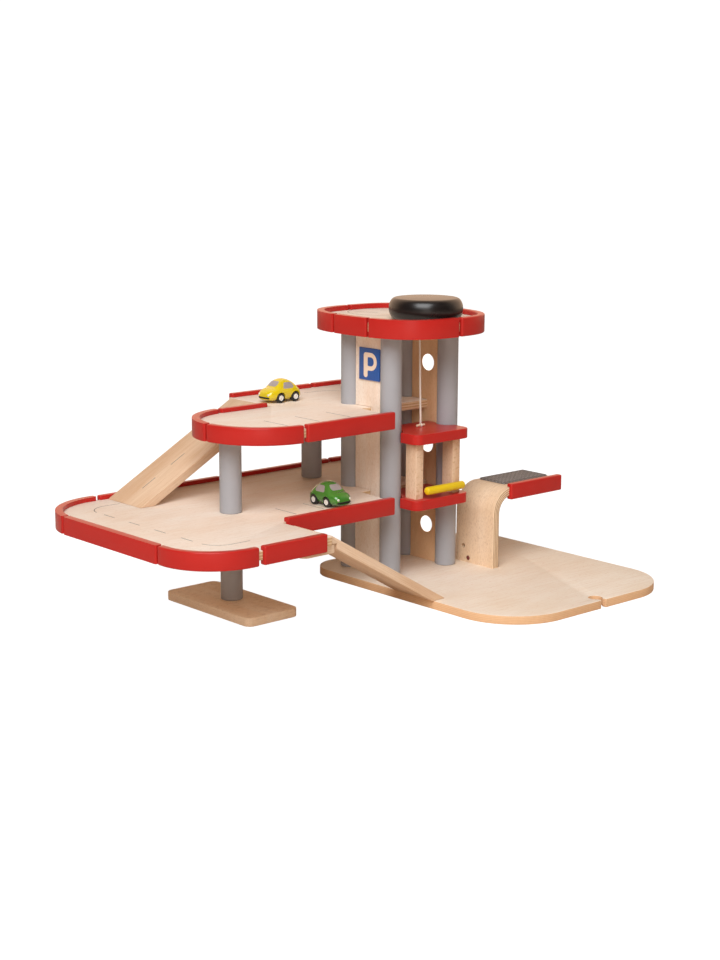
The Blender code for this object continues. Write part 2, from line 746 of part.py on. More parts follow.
def make_winder():
    """Makes the roof axle, the spool, the hollow knob and the string."""
    roof_top = ROOF_BOTTOM + BOARD
    turned(
        "knob_axle",
        (
            (0, ROOF_BOTTOM - 2.3),
            (6.0, ROOF_BOTTOM - 2.3),
            (6.0, ROOF_BOTTOM - 0.3),
            (AXLE_RADIUS, ROOF_BOTTOM - 0.3),
            (AXLE_RADIUS, KNOB_BOTTOM + 11.0),
            (AXLE_RADIUS - 0.8, KNOB_BOTTOM + 12.0),
            (0, KNOB_BOTTOM + 12.0),
        ),
        (0, KNOB_Y, 0),
        GREY,
        steps=24,
    )
    edge = KNOB_HEIGHT / 2
    rim = []
    for k in range(7):
        angle = math.radians(-90 + 180 * k / 6)
        rim.append(
            (
                KNOB_RADIUS - edge * 0.52 + edge * 0.52 * math.cos(angle),
                KNOB_BOTTOM + edge + edge * math.sin(angle),
            )
        )
    ceiling = KNOB_BOTTOM + KNOB_HOLLOW
    profile = [
        (0, ceiling + 4.4),
        (5.3, ceiling + 4.4),
        (5.3, ceiling),
        (KNOB_HOLLOW_RADIUS, ceiling),
        (KNOB_HOLLOW_RADIUS, KNOB_BOTTOM),
        *rim,
        (0, KNOB_BOTTOM + KNOB_HEIGHT),
    ]
    turned("winder_knob", profile, (0, KNOB_Y, 0), DARK, steps=40, roughness=0.3)
    low = roof_top + 1.2
    bore = AXLE_RADIUS + PLAY
    spool = (
        (0, KNOB_BOTTOM + 12.4),
        (bore, KNOB_BOTTOM + 12.4),
        (bore, low),
        (SPOOL_RADIUS, low),
        (SPOOL_RADIUS, ceiling - 3.2),
        (SPOOL_FLANGE, ceiling - 2.4),
        (SPOOL_FLANGE, ceiling - PLAY),
        (5.0, ceiling - PLAY),
        (5.0, ceiling + 4.0),
        (0, ceiling + 4.0),
    )
    turned("winder_spool", spool, (0, KNOB_Y, 0), DARK)
    low_end = LIFT_ROOF_BOTTOM + LIFT_BOARD + 3.8 + 2 * PLAY
    turned(
        "lift_string",
        (
            (0, low_end),
            (STRING_RADIUS, low_end),
            (STRING_RADIUS, STRING_TOP),
            (0, STRING_TOP),
        ),
        (0, STRING_Y, 0),
        ROPE,
        steps=12,
    )


def make_stand(base):
    """Makes the bent plywood stand with its rail, pad and screw plug."""
    low = BASE_TOP + PLAY
    bend = (STAND_X, STAND_TOP, STAND_BEND)
    inner = (STAND_X + BOARD, STAND_TOP - BOARD, STAND_BEND - BOARD)
    side = [
        (STAND_X, low - TENON_LENGTH, 0.0),
        (STAND_X + BOARD, low - TENON_LENGTH, 0.0),
        inner,
        (STAND_END, STAND_TOP - BOARD, 0.6),
        (STAND_END, STAND_TOP, 0.6),
        bend,
    ]
    stand = upright("bent_stand", [fillet(side)], "Y", *STAND_Y, (0, 0, 0), BIRCH)
    slot = [
        (STAND_X - PLAY, STAND_Y[0] - PLAY),
        (STAND_X + BOARD + PLAY, STAND_Y[0] - PLAY),
        (STAND_X + BOARD + PLAY, STAND_Y[1] + PLAY),
        (STAND_X - PLAY, STAND_Y[1] + PLAY),
    ]
    cut(base, place("stand_slot", flat_mesh("stand_slot", [slot], 10.0), (0, 0, BASE_TOP + 0.6)))
    middle = STAND_TOP - BOARD / 2
    groove = [
        (STAND_X, STAND_Y[0] - PLAY),
        (STAND_END + 30, STAND_Y[0] - PLAY),
        (STAND_END + 30, STAND_Y[1]),
        (STAND_X, STAND_Y[1]),
    ]
    strip = [
        (STAND_RAIL_X[0], STAND_Y[0] - RAIL_OUT, RAIL_END_RADIUS),
        (STAND_RAIL_X[1], STAND_Y[0] - RAIL_OUT, RAIL_END_RADIUS),
        (STAND_RAIL_X[1], STAND_Y[0] + RAIL_IN, RAIL_END_RADIUS),
        (STAND_RAIL_X[0], STAND_Y[0] + RAIL_IN, RAIL_END_RADIUS),
    ]
    rail = board("stand_rail", [fillet(strip, 30.0)], middle - STAND_RAIL_HEIGHT / 2, middle + STAND_RAIL_HEIGHT / 2, RED, 0.35, RAIL_BREAK)
    cut(rail, place("stand_groove", flat_mesh("stand_groove", [groove], GROOVE + 1.2), (0, 0, middle)))
    pad = [
        (PAD_X[0], PAD_Y[0], 2.0),
        (PAD_X[1], PAD_Y[0], 2.0),
        (PAD_X[1], PAD_Y[1], 2.0),
        (PAD_X[0], PAD_Y[1], 2.0),
    ]
    board(
        "stand_pad",
        [fillet(pad, 30.0)],
        STAND_TOP + PLAY,
        STAND_TOP + PLAY + PAD_THICKNESS,
        MESH_GREY,
        0.6,
        0.4,
    )
    for label, (y, z) in (("plug", SCREW), ("hole", SCREW_HOLE)):
        drill(stand, label, (0, y, z), 3.0, STAND_X - 5, STAND_X + 7.0, "X", 20)
    turned(
        "stand_screw",
        (
            (0, STAND_X - 0.6),
            (2.0, STAND_X - 0.6),
            (2.7, STAND_X),
            (2.7, STAND_X + 6.6),
            (0, STAND_X + 6.6),
        ),
        (0, *SCREW),
        BEECH,
        "X",
        20,
    )


def make_car(name, spot, heading, colour):
    """Makes one car: a body with wheel arches and two wheelsets, heading along -X or -Y."""
    turn = 0.0 if heading == "-X" else math.radians(90)
    nose, tail = -CAR_NOSE, CAR_LENGTH - CAR_NOSE
    clearance = 2.8
    side = (
        (nose, clearance, 2.0),
        (tail, clearance, 2.0),
        (tail, 13.5, 6.0),
        (tail - 4.5, CAR_HEIGHT, 7.0),
        (nose + 20.0, CAR_HEIGHT, 6.0),
        (nose + 13.0, 14.5, 5.0),
        (nose, 12.5, 5.0),
    )
    mesh = flat_mesh(name + "_body", [fillet(side, 22.5)], 2 * CAR_HALF_WIDTH)
    mesh.transform(Matrix.Rotation(math.radians(90), 4, "X"))
    body = place(name + "_body", mesh, spot, colour, 0.3)
    body.rotation_euler = (0, 0, turn)
    soften(body, 1.8)
    for label, offset in (("front", -WHEEL_BASE / 2), ("rear", WHEEL_BASE / 2)):
        step = Vector((offset, 0, WHEEL_RADIUS))
        step.rotate(Matrix.Rotation(turn, 3, "Z"))
        centre = Vector(spot) + step
        axis = "Y" if heading == "-X" else "X"
        arch = WHEEL_RADIUS + 0.8
        well = (
            (0, -20.0),
            (arch, -20.0),
            (arch, -7.2),
            (1.5, -7.2),
            (1.5, 7.2),
            (arch, 7.2),
            (arch, 20.0),
            (0, 20.0),
        )
        cut(body, turned(f"{name}_{label}_well", well, centre, axis=axis, steps=20))
        rim = CAR_HALF_WIDTH - 0.2
        inside = 7.7
        wheel = (
            (0, -rim),
            (WHEEL_RADIUS - 0.7, -rim),
            (WHEEL_RADIUS, -rim + 0.7),
            (WHEEL_RADIUS, -inside),
            (1.0, -inside),
        )
        mirrored = [(radius, -height) for radius, height in reversed(wheel)]
        turned(f"{name}_wheels_{label}", [*wheel, *mirrored], centre, DARK, axis, 20, 0.5)


def main():
    """Makes every piece."""
    base = make_boards()
    make_panels()
    make_ramp("ramp_lower", LOWER_RAMP_TOP, LOWER_RAMP_Y, sum(LOWER_RAMP_Y) / 2)
    make_ramp("ramp_upper", UPPER_RAMP_TOP, UPPER_RAMP_Y, sum(UPPER_RAMP_Y) / 2)
    make_lift()
    make_winder()
    make_stand(base)
    make_car("green", GREEN_PLACE, "-Y", GREEN)
    make_car("yellow", YELLOW_PLACE, "-X", YELLOW)


main()
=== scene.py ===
"""Looks of the toy parking garage: finishes, rounded wooden pieces, printed markings, studio and camera.

Lengths are millimetres in the part's own frame: the origin is under the middle of the tower posts, +X runs
along the decks towards the stand, +Y to the back and +Z up.
"""

from __future__ import annotations

import logging
import math
from collections.abc import Iterable, Iterator, Sequence
from contextlib import contextmanager
from dataclasses import dataclass, field, replace
from enum import Enum
from typing import Any, Protocol

import bmesh
import bpy
from mathutils import Matrix, Vector


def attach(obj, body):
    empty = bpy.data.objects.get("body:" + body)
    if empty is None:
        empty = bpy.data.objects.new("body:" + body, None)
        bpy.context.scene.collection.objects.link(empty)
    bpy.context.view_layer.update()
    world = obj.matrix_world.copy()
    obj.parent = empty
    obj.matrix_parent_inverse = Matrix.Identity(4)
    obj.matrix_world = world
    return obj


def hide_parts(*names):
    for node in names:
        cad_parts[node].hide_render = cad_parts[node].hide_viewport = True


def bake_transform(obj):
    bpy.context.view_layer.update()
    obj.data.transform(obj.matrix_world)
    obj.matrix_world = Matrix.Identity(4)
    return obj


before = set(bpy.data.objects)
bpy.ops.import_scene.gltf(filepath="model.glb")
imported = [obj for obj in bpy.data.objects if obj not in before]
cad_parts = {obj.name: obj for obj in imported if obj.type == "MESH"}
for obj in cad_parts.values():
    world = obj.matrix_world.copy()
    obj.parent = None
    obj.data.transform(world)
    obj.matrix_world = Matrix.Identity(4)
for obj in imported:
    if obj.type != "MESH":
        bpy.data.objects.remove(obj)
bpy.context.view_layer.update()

MM = 0.001
LOG = logging.getLogger("garage")

Point = tuple[float, float]
Corner = tuple[float, float, float]
Place = tuple[float, float, float]
Colour = tuple[float, float, float]


class Body(Enum):
    """The bodies that move against each other."""

    GARAGE = "garage"
    LIFT = "lift"
    GATE = "gate"
    WINDER = "winder"
    LOWER_RAMP = "lower_ramp"
    UPPER_RAMP = "upper_ramp"
    GREEN_CAR = "green_car"
    GREEN_FRONT = "green_front"
    GREEN_REAR = "green_rear"
    YELLOW_CAR = "yellow_car"
    YELLOW_FRONT = "yellow_front"
    YELLOW_REAR = "yellow_rear"


class Slot(Enum):
    """What a piece is made of, in the record's words."""

    PLYWOOD = "plywood"
    BEECH = "beech_wood"
    BIRCH = "birch_wood"
    GREY = "grey_lacquer"
    RED = "red_lacquer"
    DARK = "dark_lacquer"
    YELLOW = "yellow_lacquer"
    SIGN = "sign_blue"
    STEEL = "steel_pin"
    STRING = "cotton_string"
    MESH = "mesh_fabric"
    TYRE = "tyre_black"
    GREEN_PAINT = "green_paint"
    YELLOW_PAINT = "yellow_paint"


class Axis(Enum):
    """An axis of the part's frame."""

    X = "X"
    Y = "Y"
    Z = "Z"


class Edge(Enum):
    """Which faces of a plywood piece show its layers."""

    NONE = "none"
    LEVEL = "level"
    BENT = "bent"


@dataclass(frozen=True)
class Plan:
    """The sizes and places that several pieces share."""

    board: float = 10.0
    storey: float = 100.0
    roof_bottom: float = 303.4
    seam: float = 0.3
    post_x: float = 46.15
    post_y: float = 34.75
    post_radius: float = 12.5
    winder_y: float = -43.65
    string_y: float = -32.75
    string_foot_x: float = 4.0
    toggle_height: float = 186.1
    stand_left: float = 70.65
    stand_top: float = 106.8
    stand_bend: float = 31.0
    rail_out: float = 4.2
    rail_in: float = 4.3
    rail_corner: float = 2.2
    rail_edge: float = 1.6

    @property
    def decks(self) -> tuple[float, float]:
        """The heights of the undersides of the two decks."""
        return (self.storey, 2 * self.storey)


PLAN = Plan()


def srgb(code: str) -> Colour:
    """Turns a hex colour code into linear light.

    Args:
        code: six hex digits.

    Returns:
        The linear red, green and blue.
    """
    parts = [int(code[i : i + 2], 16) / 255 for i in (0, 2, 4)]
    linear = [p / 12.92 if p <= 0.04045 else ((p + 0.055) / 1.055) ** 2.4 for p in parts]
    return (linear[0], linear[1], linear[2])


def darkened(colour: Colour, share: float) -> Colour:
    """Returns a colour with a share of its light taken away."""
    return (colour[0] * (1 - share), colour[1] * (1 - share), colour[2] * (1 - share))


class Wire:
    """An output socket of a node graph that can be used in arithmetic."""

    def __init__(self, graph: Graph, socket: bpy.types.NodeSocket) -> None:
        """Keeps the graph and the socket."""
        self.graph = graph
        self.socket = socket

    def _math(self, operation: str, first: Any, second: Any = None) -> Wire:
        """Adds a Math node and returns its result."""
        inputs = {0: first} if second is None else {0: first, 1: second}
        return self.graph.add("ShaderNodeMath", {"operation": operation}, inputs)[0]

    def __add__(self, other: Any) -> Wire:
        """Returns this plus the other value."""
        return self._math("ADD", self, other)

    def __radd__(self, other: Any) -> Wire:
        """Returns the other value plus this."""
        return self._math("ADD", other, self)

    def __sub__(self, other: Any) -> Wire:
        """Returns this minus the other value."""
        return self._math("SUBTRACT", self, other)

    def __rsub__(self, other: Any) -> Wire:
        """Returns the other value minus this."""
        return self._math("SUBTRACT", other, self)

    def __mul__(self, other: Any) -> Wire:
        """Returns this times the other value."""
        return self._math("MULTIPLY", self, other)

    def __rmul__(self, other: Any) -> Wire:
        """Returns the other value times this."""
        return self._math("MULTIPLY", other, self)

    def __truediv__(self, other: Any) -> Wire:
        """Returns this divided by the other value."""
        return self._math("DIVIDE", self, other)

    def __rtruediv__(self, other: Any) -> Wire:
        """Returns the other value divided by this."""
        return self._math("DIVIDE", other, self)

    def __pow__(self, other: Any) -> Wire:
        """Returns this to the power of the other value."""
        return self._math("POWER", self, other)

    def __gt__(self, other: Any) -> Wire:
        """Returns 1 where this is larger than the other value, and 0 elsewhere."""
        return self._math("GREATER_THAN", self, other)

    def __lt__(self, other: Any) -> Wire:
        """Returns 1 where this is smaller than the other value, and 0 elsewhere."""
        return self._math("LESS_THAN", self, other)

    def __abs__(self) -> Wire:
        """Returns this without its sign."""
        return self._math("ABSOLUTE", self)

    def least(self, other: Any) -> Wire:
        """Returns the smaller of this and the other value."""
        return self._math("MINIMUM", self, other)

    def most(self, other: Any) -> Wire:
        """Returns the larger of this and the other value."""
        return self._math("MAXIMUM", self, other)

    def fraction(self) -> Wire:
        """Returns the part after the decimal point."""
        return self._math("FRACT", self)

    def sine(self) -> Wire:
        """Returns the sine of an angle in radians."""
        return self._math("SINE", self)

    def soft_step(self, low: float, high: float) -> Wire:
        """Returns a smooth rise.

        Args:
            low: the value up to which the result is 0.
            high: the value from which it is 1.

        Returns:
            The result.
        """
        node = self.graph.add(
            "ShaderNodeMapRange",
            {"interpolation_type": "SMOOTHSTEP"},
            {"Value": self, "From Min": low, "From Max": high},
        )
        return node[0]


class Node:
    """A node whose outputs are read by number or name."""

    def __init__(self, graph: Graph, node: bpy.types.Node) -> None:
        """Keeps the graph and the node."""
        self.graph = graph
        self.node = node

    def __getitem__(self, key: int | str) -> Wire:
        """Returns one output."""
        return Wire(self.graph, self.node.outputs[key])


class Graph:
    """The node tree of one material or of the world."""

    def __init__(self, tree: bpy.types.NodeTree) -> None:
        """Takes over a tree and empties it."""
        self.tree = tree
        self.tree.nodes.clear()

    def add(
        self,
        kind: str,
        settings: dict[str, Any] | None = None,
        inputs: dict[int | str, Any] | None = None,
    ) -> Node:
        """Adds a node.

        Args:
            kind: the node's type name.
            settings: properties of the node, set before its inputs.
            inputs: values or wires for its sockets.

        Returns:
            The new node.
        """
        node = self.tree.nodes.new(kind)
        for key, value in (settings or {}).items():
            setattr(node, key, value)
        for key, value in (inputs or {}).items():
            self.feed(node.inputs[key], value)
        return Node(self, node)

    def feed(self, socket: bpy.types.NodeSocket, value: Any) -> None:
        """Sets a socket to a constant or links it to a wire.

        Args:
            socket: the input socket.
            value: a wire, a number, a colour or a vector.
        """
        if isinstance(value, Wire):
            self.tree.links.new(value.socket, socket)
        elif isinstance(value, tuple) and len(value) == 3 and socket.type == "RGBA":
            socket.default_value = (*value, 1.0)
        else:
            socket.default_value = value

    def mix(self, share: Any, first: Any, second: Any) -> Wire:
        """Mixes two colours.

        Args:
            share: how much of the second one there is, from 0 to 1.
            first: a colour or a wire.
            second: a colour or a wire.

        Returns:
            The mixed colour.
        """
        node = self.add("ShaderNodeMix", {"data_type": "RGBA"}, {"Factor": share}).node
        ends = {socket.identifier: socket for socket in (*node.inputs, *node.outputs)}
        self.feed(ends["A_Color"], first)
        self.feed(ends["B_Color"], second)
        return Wire(self, ends["Result_Color"])

    def place(self) -> Wire:
        """Returns the position on the piece."""
        return self.add("ShaderNodeTexCoord")["Object"]

    def parts(self, vector: Wire) -> Node:
        """Returns a node whose three outputs are a vector's x, y and z."""
        return self.add("ShaderNodeSeparateXYZ", None, {0: vector})

    def scaled(self, vector: Wire, factors: tuple[float, float, float]) -> Wire:
        """Multiplies a vector by three factors."""
        node = self.add("ShaderNodeVectorMath", {"operation": "MULTIPLY"}, {0: vector, 1: factors})
        return node[0]

    def noise(self, vector: Wire, scale: float, detail: float = 3.0, rough: float = 0.5) -> Wire:
        """Returns a noise value of about 0.3 to 0.7."""
        inputs = {"Vector": vector, "Scale": scale, "Detail": detail, "Roughness": rough}
        return self.add("ShaderNodeTexNoise", None, inputs)[0]

    def bump(self, height: Wire, strength: float, distance: float) -> Wire:
        """Returns a normal that follows the height."""
        inputs = {"Height": height, "Strength": strength, "Distance": distance}
        return self.add("ShaderNodeBump", None, inputs)[0]

    def shader(self, inputs: dict[str, Any]) -> Wire:
        """Returns a Principled shader."""
        return self.add("ShaderNodeBsdfPrincipled", None, inputs)[0]

    def end(self, shader: Wire) -> None:
        """Ends a material in a shader."""
        self.add("ShaderNodeOutputMaterial", None, {"Surface": shader})


@dataclass(frozen=True)
class Finish:
    """A material that is made once and shared."""

    name: str

    def material(self) -> bpy.types.Material:
        """Makes the material the first time.

        Returns:
            The material.
        """
        title = f"{self.name}_finish"
        found = bpy.data.materials.get(title)
        if found is not None:
            return found
        made = bpy.data.materials.new(title)
        made.use_nodes = True
        self.paint(Graph(made.node_tree))
        return made

    def paint(self, graph: Graph) -> None:
        """Fills the material's node graph.

        Args:
            graph: the material's graph.
        """
        raise NotImplementedError


@dataclass(frozen=True)
class Wood(Finish):
    """Clear-coated wood with grain, and with plywood layers on its edges where asked.

    The grain runs along the axis that stretch leaves at 1 and rises along x by lean. Bend is the x and z
    of a bent board's inner middle and its outer radius, in millimetres like layer and start.
    """

    light: Colour = srgb("FDF2E6")
    dark: Colour = srgb("F4DDC8")
    stretch: tuple[float, float, float] = (1.0, 6.0, 6.0)
    edge: Edge = Edge.NONE
    edge_light: Colour = srgb("E9CDA9")
    edge_dark: Colour = srgb("C79F72")
    layer: float = 2.0
    start: float = 0.0
    bend: Corner = (0.0, 0.0, 0.0)
    roughness: float = 0.55
    lines: float = 0.15
    contrast: float = 0.75
    lean: float = 0.0
    seed: float = 0.0

    def paint(self, graph: Graph) -> None:
        """Fills the material's node graph.

        Args:
            graph: the material's graph.
        """
        grain = self.grain_space(graph)
        fibre = graph.noise(graph.scaled(grain, (1.0, 5.0, 5.0)), scale=45.0, rough=0.6)
        colour = self.face(graph, grain, fibre)
        if self.edge is not Edge.NONE:
            colour = self.layered(graph, colour)
        graph.end(
            graph.shader(
                {
                    "Base Color": colour,
                    "Roughness": self.roughness + 0.12 * (fibre - 0.5),
                    "Specular IOR Level": 0.25,
                    "Normal": graph.bump(fibre, strength=0.06, distance=0.0003),
                }
            )
        )

    def grain_space(self, graph: Graph) -> Wire:
        """Squeezes the space on the piece across the grain.

        Args:
            graph: the material's graph.

        Returns:
            The position in that space.
        """
        xyz = graph.parts(graph.place())
        inputs = {0: xyz[0] + self.seed, 1: xyz[1] + self.seed, 2: xyz[2] + xyz[0] * self.lean}
        return graph.scaled(graph.add("ShaderNodeCombineXYZ", None, inputs)[0], self.stretch)

    def face(self, graph: Graph, grain: Wire, fibre: Wire) -> Wire:
        """Returns the colour of the board's face.

        Args:
            graph: the material's graph.
            grain: the position in the grain's space.
            fibre: the noise of the fine fibres.

        Returns:
            The colour.
        """
        blotch = graph.noise(graph.scaled(grain, (1.0, 0.5, 0.5)), scale=7.0, detail=2.0)
        flame = graph.noise(grain, scale=16.0, rough=0.6)
        tone = blotch.soft_step(0.35, 0.65) * 0.5 + flame.soft_step(0.35, 0.7) * 0.3
        tone = tone + fibre.soft_step(0.3, 0.7) * 0.2
        colour = graph.mix(tone, self.light, self.dark)
        rings = graph.noise(graph.scaled(grain, (0.35, 4.0, 4.0)), scale=60.0, detail=2.0, rough=0.55)
        colour = graph.mix(rings.soft_step(0.5, 0.68) * self.lines, colour, self.edge_dark)
        pores = graph.noise(graph.scaled(grain, (1.6, 5.0, 5.0)), scale=120.0, detail=0.0)
        return graph.mix(pores.soft_step(0.66, 0.8) * 0.35, colour, self.edge_dark)

    def layered(self, graph: Graph, colour: Wire) -> Wire:
        """Returns a colour with the stripes of the plywood on the edge faces.

        Args:
            graph: the material's graph.
            colour: the colour of the board's face.

        Returns:
            The colour with stripes.
        """
        place = graph.place()
        side, depth = self.depth(graph, place)
        wobble = graph.noise(graph.scaled(place, (1.0, 1.0, 0.1)), scale=30.0, detail=1.0) - 0.5
        layer = (depth / (self.layer * MM) + wobble * 0.25).fraction()
        stripe = layer.soft_step(0.38, 0.48) - layer.soft_step(0.9, 1.0)
        speckle = graph.noise(graph.scaled(place, (1.0, 1.0, 0.4)), scale=260.0, detail=2.0)
        shade = stripe * self.contrast + (speckle - 0.5) * 0.4
        return graph.mix(side, colour, graph.mix(shade, self.edge_light, self.edge_dark))

    def depth(self, graph: Graph, place: Wire) -> tuple[Wire, Wire]:
        """Returns where the layers show and how deep in the board a place lies.

        Args:
            graph: the material's graph.
            place: the position on the piece.

        Returns:
            The mask of the layered faces, and the depth in metres.
        """
        xyz = graph.parts(place)
        facing = graph.parts(graph.add("ShaderNodeTexCoord")["Normal"])
        if self.edge is Edge.LEVEL:
            return abs(facing[2]) < 0.6, xyz[2] - self.start * MM
        middle_x, middle_z, radius = (value * MM for value in self.bend)
        back = (xyz[0] - middle_x).least(0.0)
        rise = (xyz[2] - middle_z).most(0.0)
        reach = (back * back + rise * rise) ** 0.5
        return abs(facing[1]) > 0.6, radius - reach


@dataclass(frozen=True)
class Lacquer(Finish):
    """Opaque glossy paint on wood."""

    colour: Colour = (0.8, 0.8, 0.8)
    shade: float = 0.12
    roughness: float = 0.3
    shine: float = 0.25
    grain: tuple[float, float, float] = (6.0, 6.0, 1.0)
    relief: float = 0.05

    def paint(self, graph: Graph) -> None:
        """Fills the material's node graph.

        Args:
            graph: the material's graph.
        """
        place = graph.place()
        cloud = graph.noise(place, scale=22.0)
        streak = graph.noise(graph.scaled(place, self.grain), scale=60.0, detail=4.0, rough=0.6)
        colour = graph.mix(cloud.soft_step(0.35, 0.65), self.colour, darkened(self.colour, self.shade))
        graph.end(
            graph.shader(
                {
                    "Base Color": colour,
                    "Roughness": self.roughness + 0.06 * (cloud - 0.5),
                    "Specular IOR Level": self.shine,
                    "Normal": graph.bump(streak, strength=self.relief, distance=0.0004),
                }
            )
        )


@dataclass(frozen=True)
class Plain(Finish):
    """A smooth single-colour finish."""

    colour: Colour = (0.5, 0.5, 0.5)
    roughness: float = 0.5
    metallic: float = 0.0
    coat: float = 0.0
    glow: float = 0.0

    def paint(self, graph: Graph) -> None:
        """Fills the material's node graph.

        Args:
            graph: the material's graph.
        """
        cloud = graph.noise(graph.place(), scale=300.0, detail=2.0)
        graph.end(
            graph.shader(
                {
                    "Base Color": self.colour,
                    "Roughness": self.roughness + 0.1 * (cloud - 0.5),
                    "Metallic": self.metallic,
                    "Coat Weight": self.coat,
                    "Coat Roughness": 0.1,
                    # A glow is painted light: the piece shines though it is no lamp.
                    "Emission Color": self.colour,
                    "Emission Strength": self.glow,
                }
            )
        )


@dataclass(frozen=True)
class Weave(Finish):
    """A fine woven mesh of dark threads, darker still in the gaps between them as painted shade; pitch is
    millimetres from thread to thread.
    """

    colour: Colour = srgb("A8A19E")
    gap: Colour = srgb("403D3C")
    pitch: float = 2.4

    def paint(self, graph: Graph) -> None:
        """Fills the material's node graph.

        Args:
            graph: the material's graph.
        """
        xyz = graph.parts(graph.place())
        turns = math.tau / (self.pitch * MM)
        over = (xyz[0] * turns).sine()
        across = (xyz[1] * turns).sine()
        thread = (over * across).soft_step(-0.25, 0.3)
        graph.end(
            graph.shader(
                {
                    # The gaps between threads get the dark gap colour: painted shade.
                    "Base Color": graph.mix(thread, self.gap, self.colour),
                    "Roughness": 0.75,
                    "Normal": graph.bump(thread, strength=0.5, distance=0.0004),
                }
            )
        )


@dataclass(frozen=True)
class Rope(Finish):
    """Twisted cotton string, darker in the grooves between its strands as painted shade; twist is the
    strands to the metre along x, y and z.
    """

    colour: Colour = srgb("FDF3E8")
    twist: tuple[float, float, float] = (1500.0, 900.0, 900.0)

    def paint(self, graph: Graph) -> None:
        """Fills the material's node graph.

        Args:
            graph: the material's graph.
        """
        xyz = graph.parts(graph.place())
        twist_x, twist_y, twist_z = self.twist
        lay = (xyz[2] * twist_z + xyz[0] * twist_x + xyz[1] * twist_y).fraction()
        groove = lay.soft_step(0.0, 0.35) - lay.soft_step(0.65, 1.0)
        graph.end(
            graph.shader(
                {
                    # The grooves between strands get the darker colour: painted shade.
                    "Base Color": graph.mix(groove, darkened(self.colour, 0.22), self.colour),
                    "Roughness": 0.85,
                    "Normal": graph.bump(groove, strength=0.5, distance=0.0005),
                }
            )
        )


MOTTLED = (1.0, 2.2, 2.2)
UPRIGHT = (6.0, 6.0, 1.0)
DECK = Wood("deck_plywood", stretch=MOTTLED, edge=Edge.LEVEL, layer=3.3)
ROOF = replace(DECK, name="roof_plywood", start=PLAN.roof_bottom, seed=0.3)
BASE = Wood(
    "base_plywood",
    light=srgb("F9EDDD"),
    dark=srgb("EFDBC3"),
    stretch=MOTTLED,
    edge=Edge.LEVEL,
    edge_light=srgb("E9C096"),
    edge_dark=srgb("D0A074"),
    contrast=0.35,
    seed=0.7,
)
PANEL = Wood("panel_plywood", stretch=UPRIGHT, lines=0.25, seed=1.3)
# The window panel's plywood is a darker, more orange copy of the panel plywood: painted shade for the
# inside of the tower.
PANEL_PAINTED_SHADE = replace(
    PANEL, name="inner_panel_plywood", light=srgb("EFCDA6"), dark=srgb("DFB387"), seed=1.9
)
BEECH = Wood(
    "beech",
    light=srgb("FFE9CE"),
    dark=srgb("F4D4B0"),
    stretch=(6.0, 1.0, 6.0),
    edge_dark=srgb("9A6A44"),
)
BIRCH = Wood(
    "birch",
    light=srgb("EED5BB"),
    dark=srgb("DDB894"),
    stretch=(1.0, 5.0, 5.0),
    lines=0.45,
    seed=2.1,
)
# Upright birch for the lift posts, a little darker than the birch: painted shade for the posts inside the
# shaft.
BIRCH_UP_SHADED = Wood(
    "birch_upright",
    light=srgb("EDD2B8"),
    dark=srgb("D9B18D"),
    stretch=(5.0, 5.0, 1.0),
    lines=0.6,
    seed=2.9,
)
BENT = Wood(
    "bent_plywood",
    light=srgb("F3DBC0"),
    dark=srgb("E4C39E"),
    stretch=(1.0, 6.0, 1.0),
    lines=0.35,
    edge=Edge.BENT,
    edge_light=srgb("F2D9B9"),
    edge_dark=srgb("A87E55"),
    layer=2.5,
    bend=(PLAN.stand_left + PLAN.stand_bend, PLAN.stand_top - PLAN.stand_bend, PLAN.stand_bend),
    seed=3.3,
)
RED = Lacquer("red_lacquer", srgb("BE2621"), shade=0.05, shine=0.3, grain=(1.0, 8.0, 8.0))
GREY = Lacquer(
    "grey_lacquer", srgb("A8A9AE"), shade=0.05, roughness=0.45, grain=(8.0, 8.0, 0.6), relief=0.12
)
DARK = Lacquer(
    "dark_lacquer", srgb("1F1A19"), shade=0.25, roughness=0.28, shine=0.5, grain=(2.0, 8.0, 8.0)
)
YELLOW = Lacquer("yellow_lacquer", srgb("E5C41C"))
SIGN_BLUE = Plain("sign_blue", srgb("2258A5"), 0.35, coat=0.3)
SIGN_CREAM = Plain("sign_cream", srgb("F8E2CB"), 0.5)
PRINT = Plain("printed_line", srgb("6E6A66"), 0.6)
PRINT_FAINT = Plain("printed_faint_line", srgb("8E8478"), 0.6)
STEEL = Plain("steel_pin", srgb("9A9A9C"), 0.3, metallic=1.0)
PLUG = Plain("screw_plug", srgb("6E2A24"), 0.5)
HUB = Plain("wheel_hub", srgb("E8E6E0"), 0.35)
TYRE = Plain("tyre_black", srgb("1E1E1E"), 0.55)
GLASS = Plain("window_grey", srgb("A49C9C"), 0.3, coat=0.3)
# White that glows though it is no lamp: painted light for the walls of the tower's round windows.
PAINTED_GLOW = Plain("white_paint", srgb("FBFAF7"), 0.4, glow=0.75)
LAMP = Plain("head_lamp", srgb("E9E9DC"), 0.25)
CAR_GREEN = Plain("green_paint", srgb("3F8429"), 0.22, coat=0.8)
CAR_YELLOW = Plain("yellow_paint", srgb("E0C80F"), 0.22, coat=0.8)
STRING = Rope("cotton_string")
PAD_MESH = Weave("mesh_fabric")
PAD_HEM = Plain("pad_hem", srgb("4A4442"), 0.7)


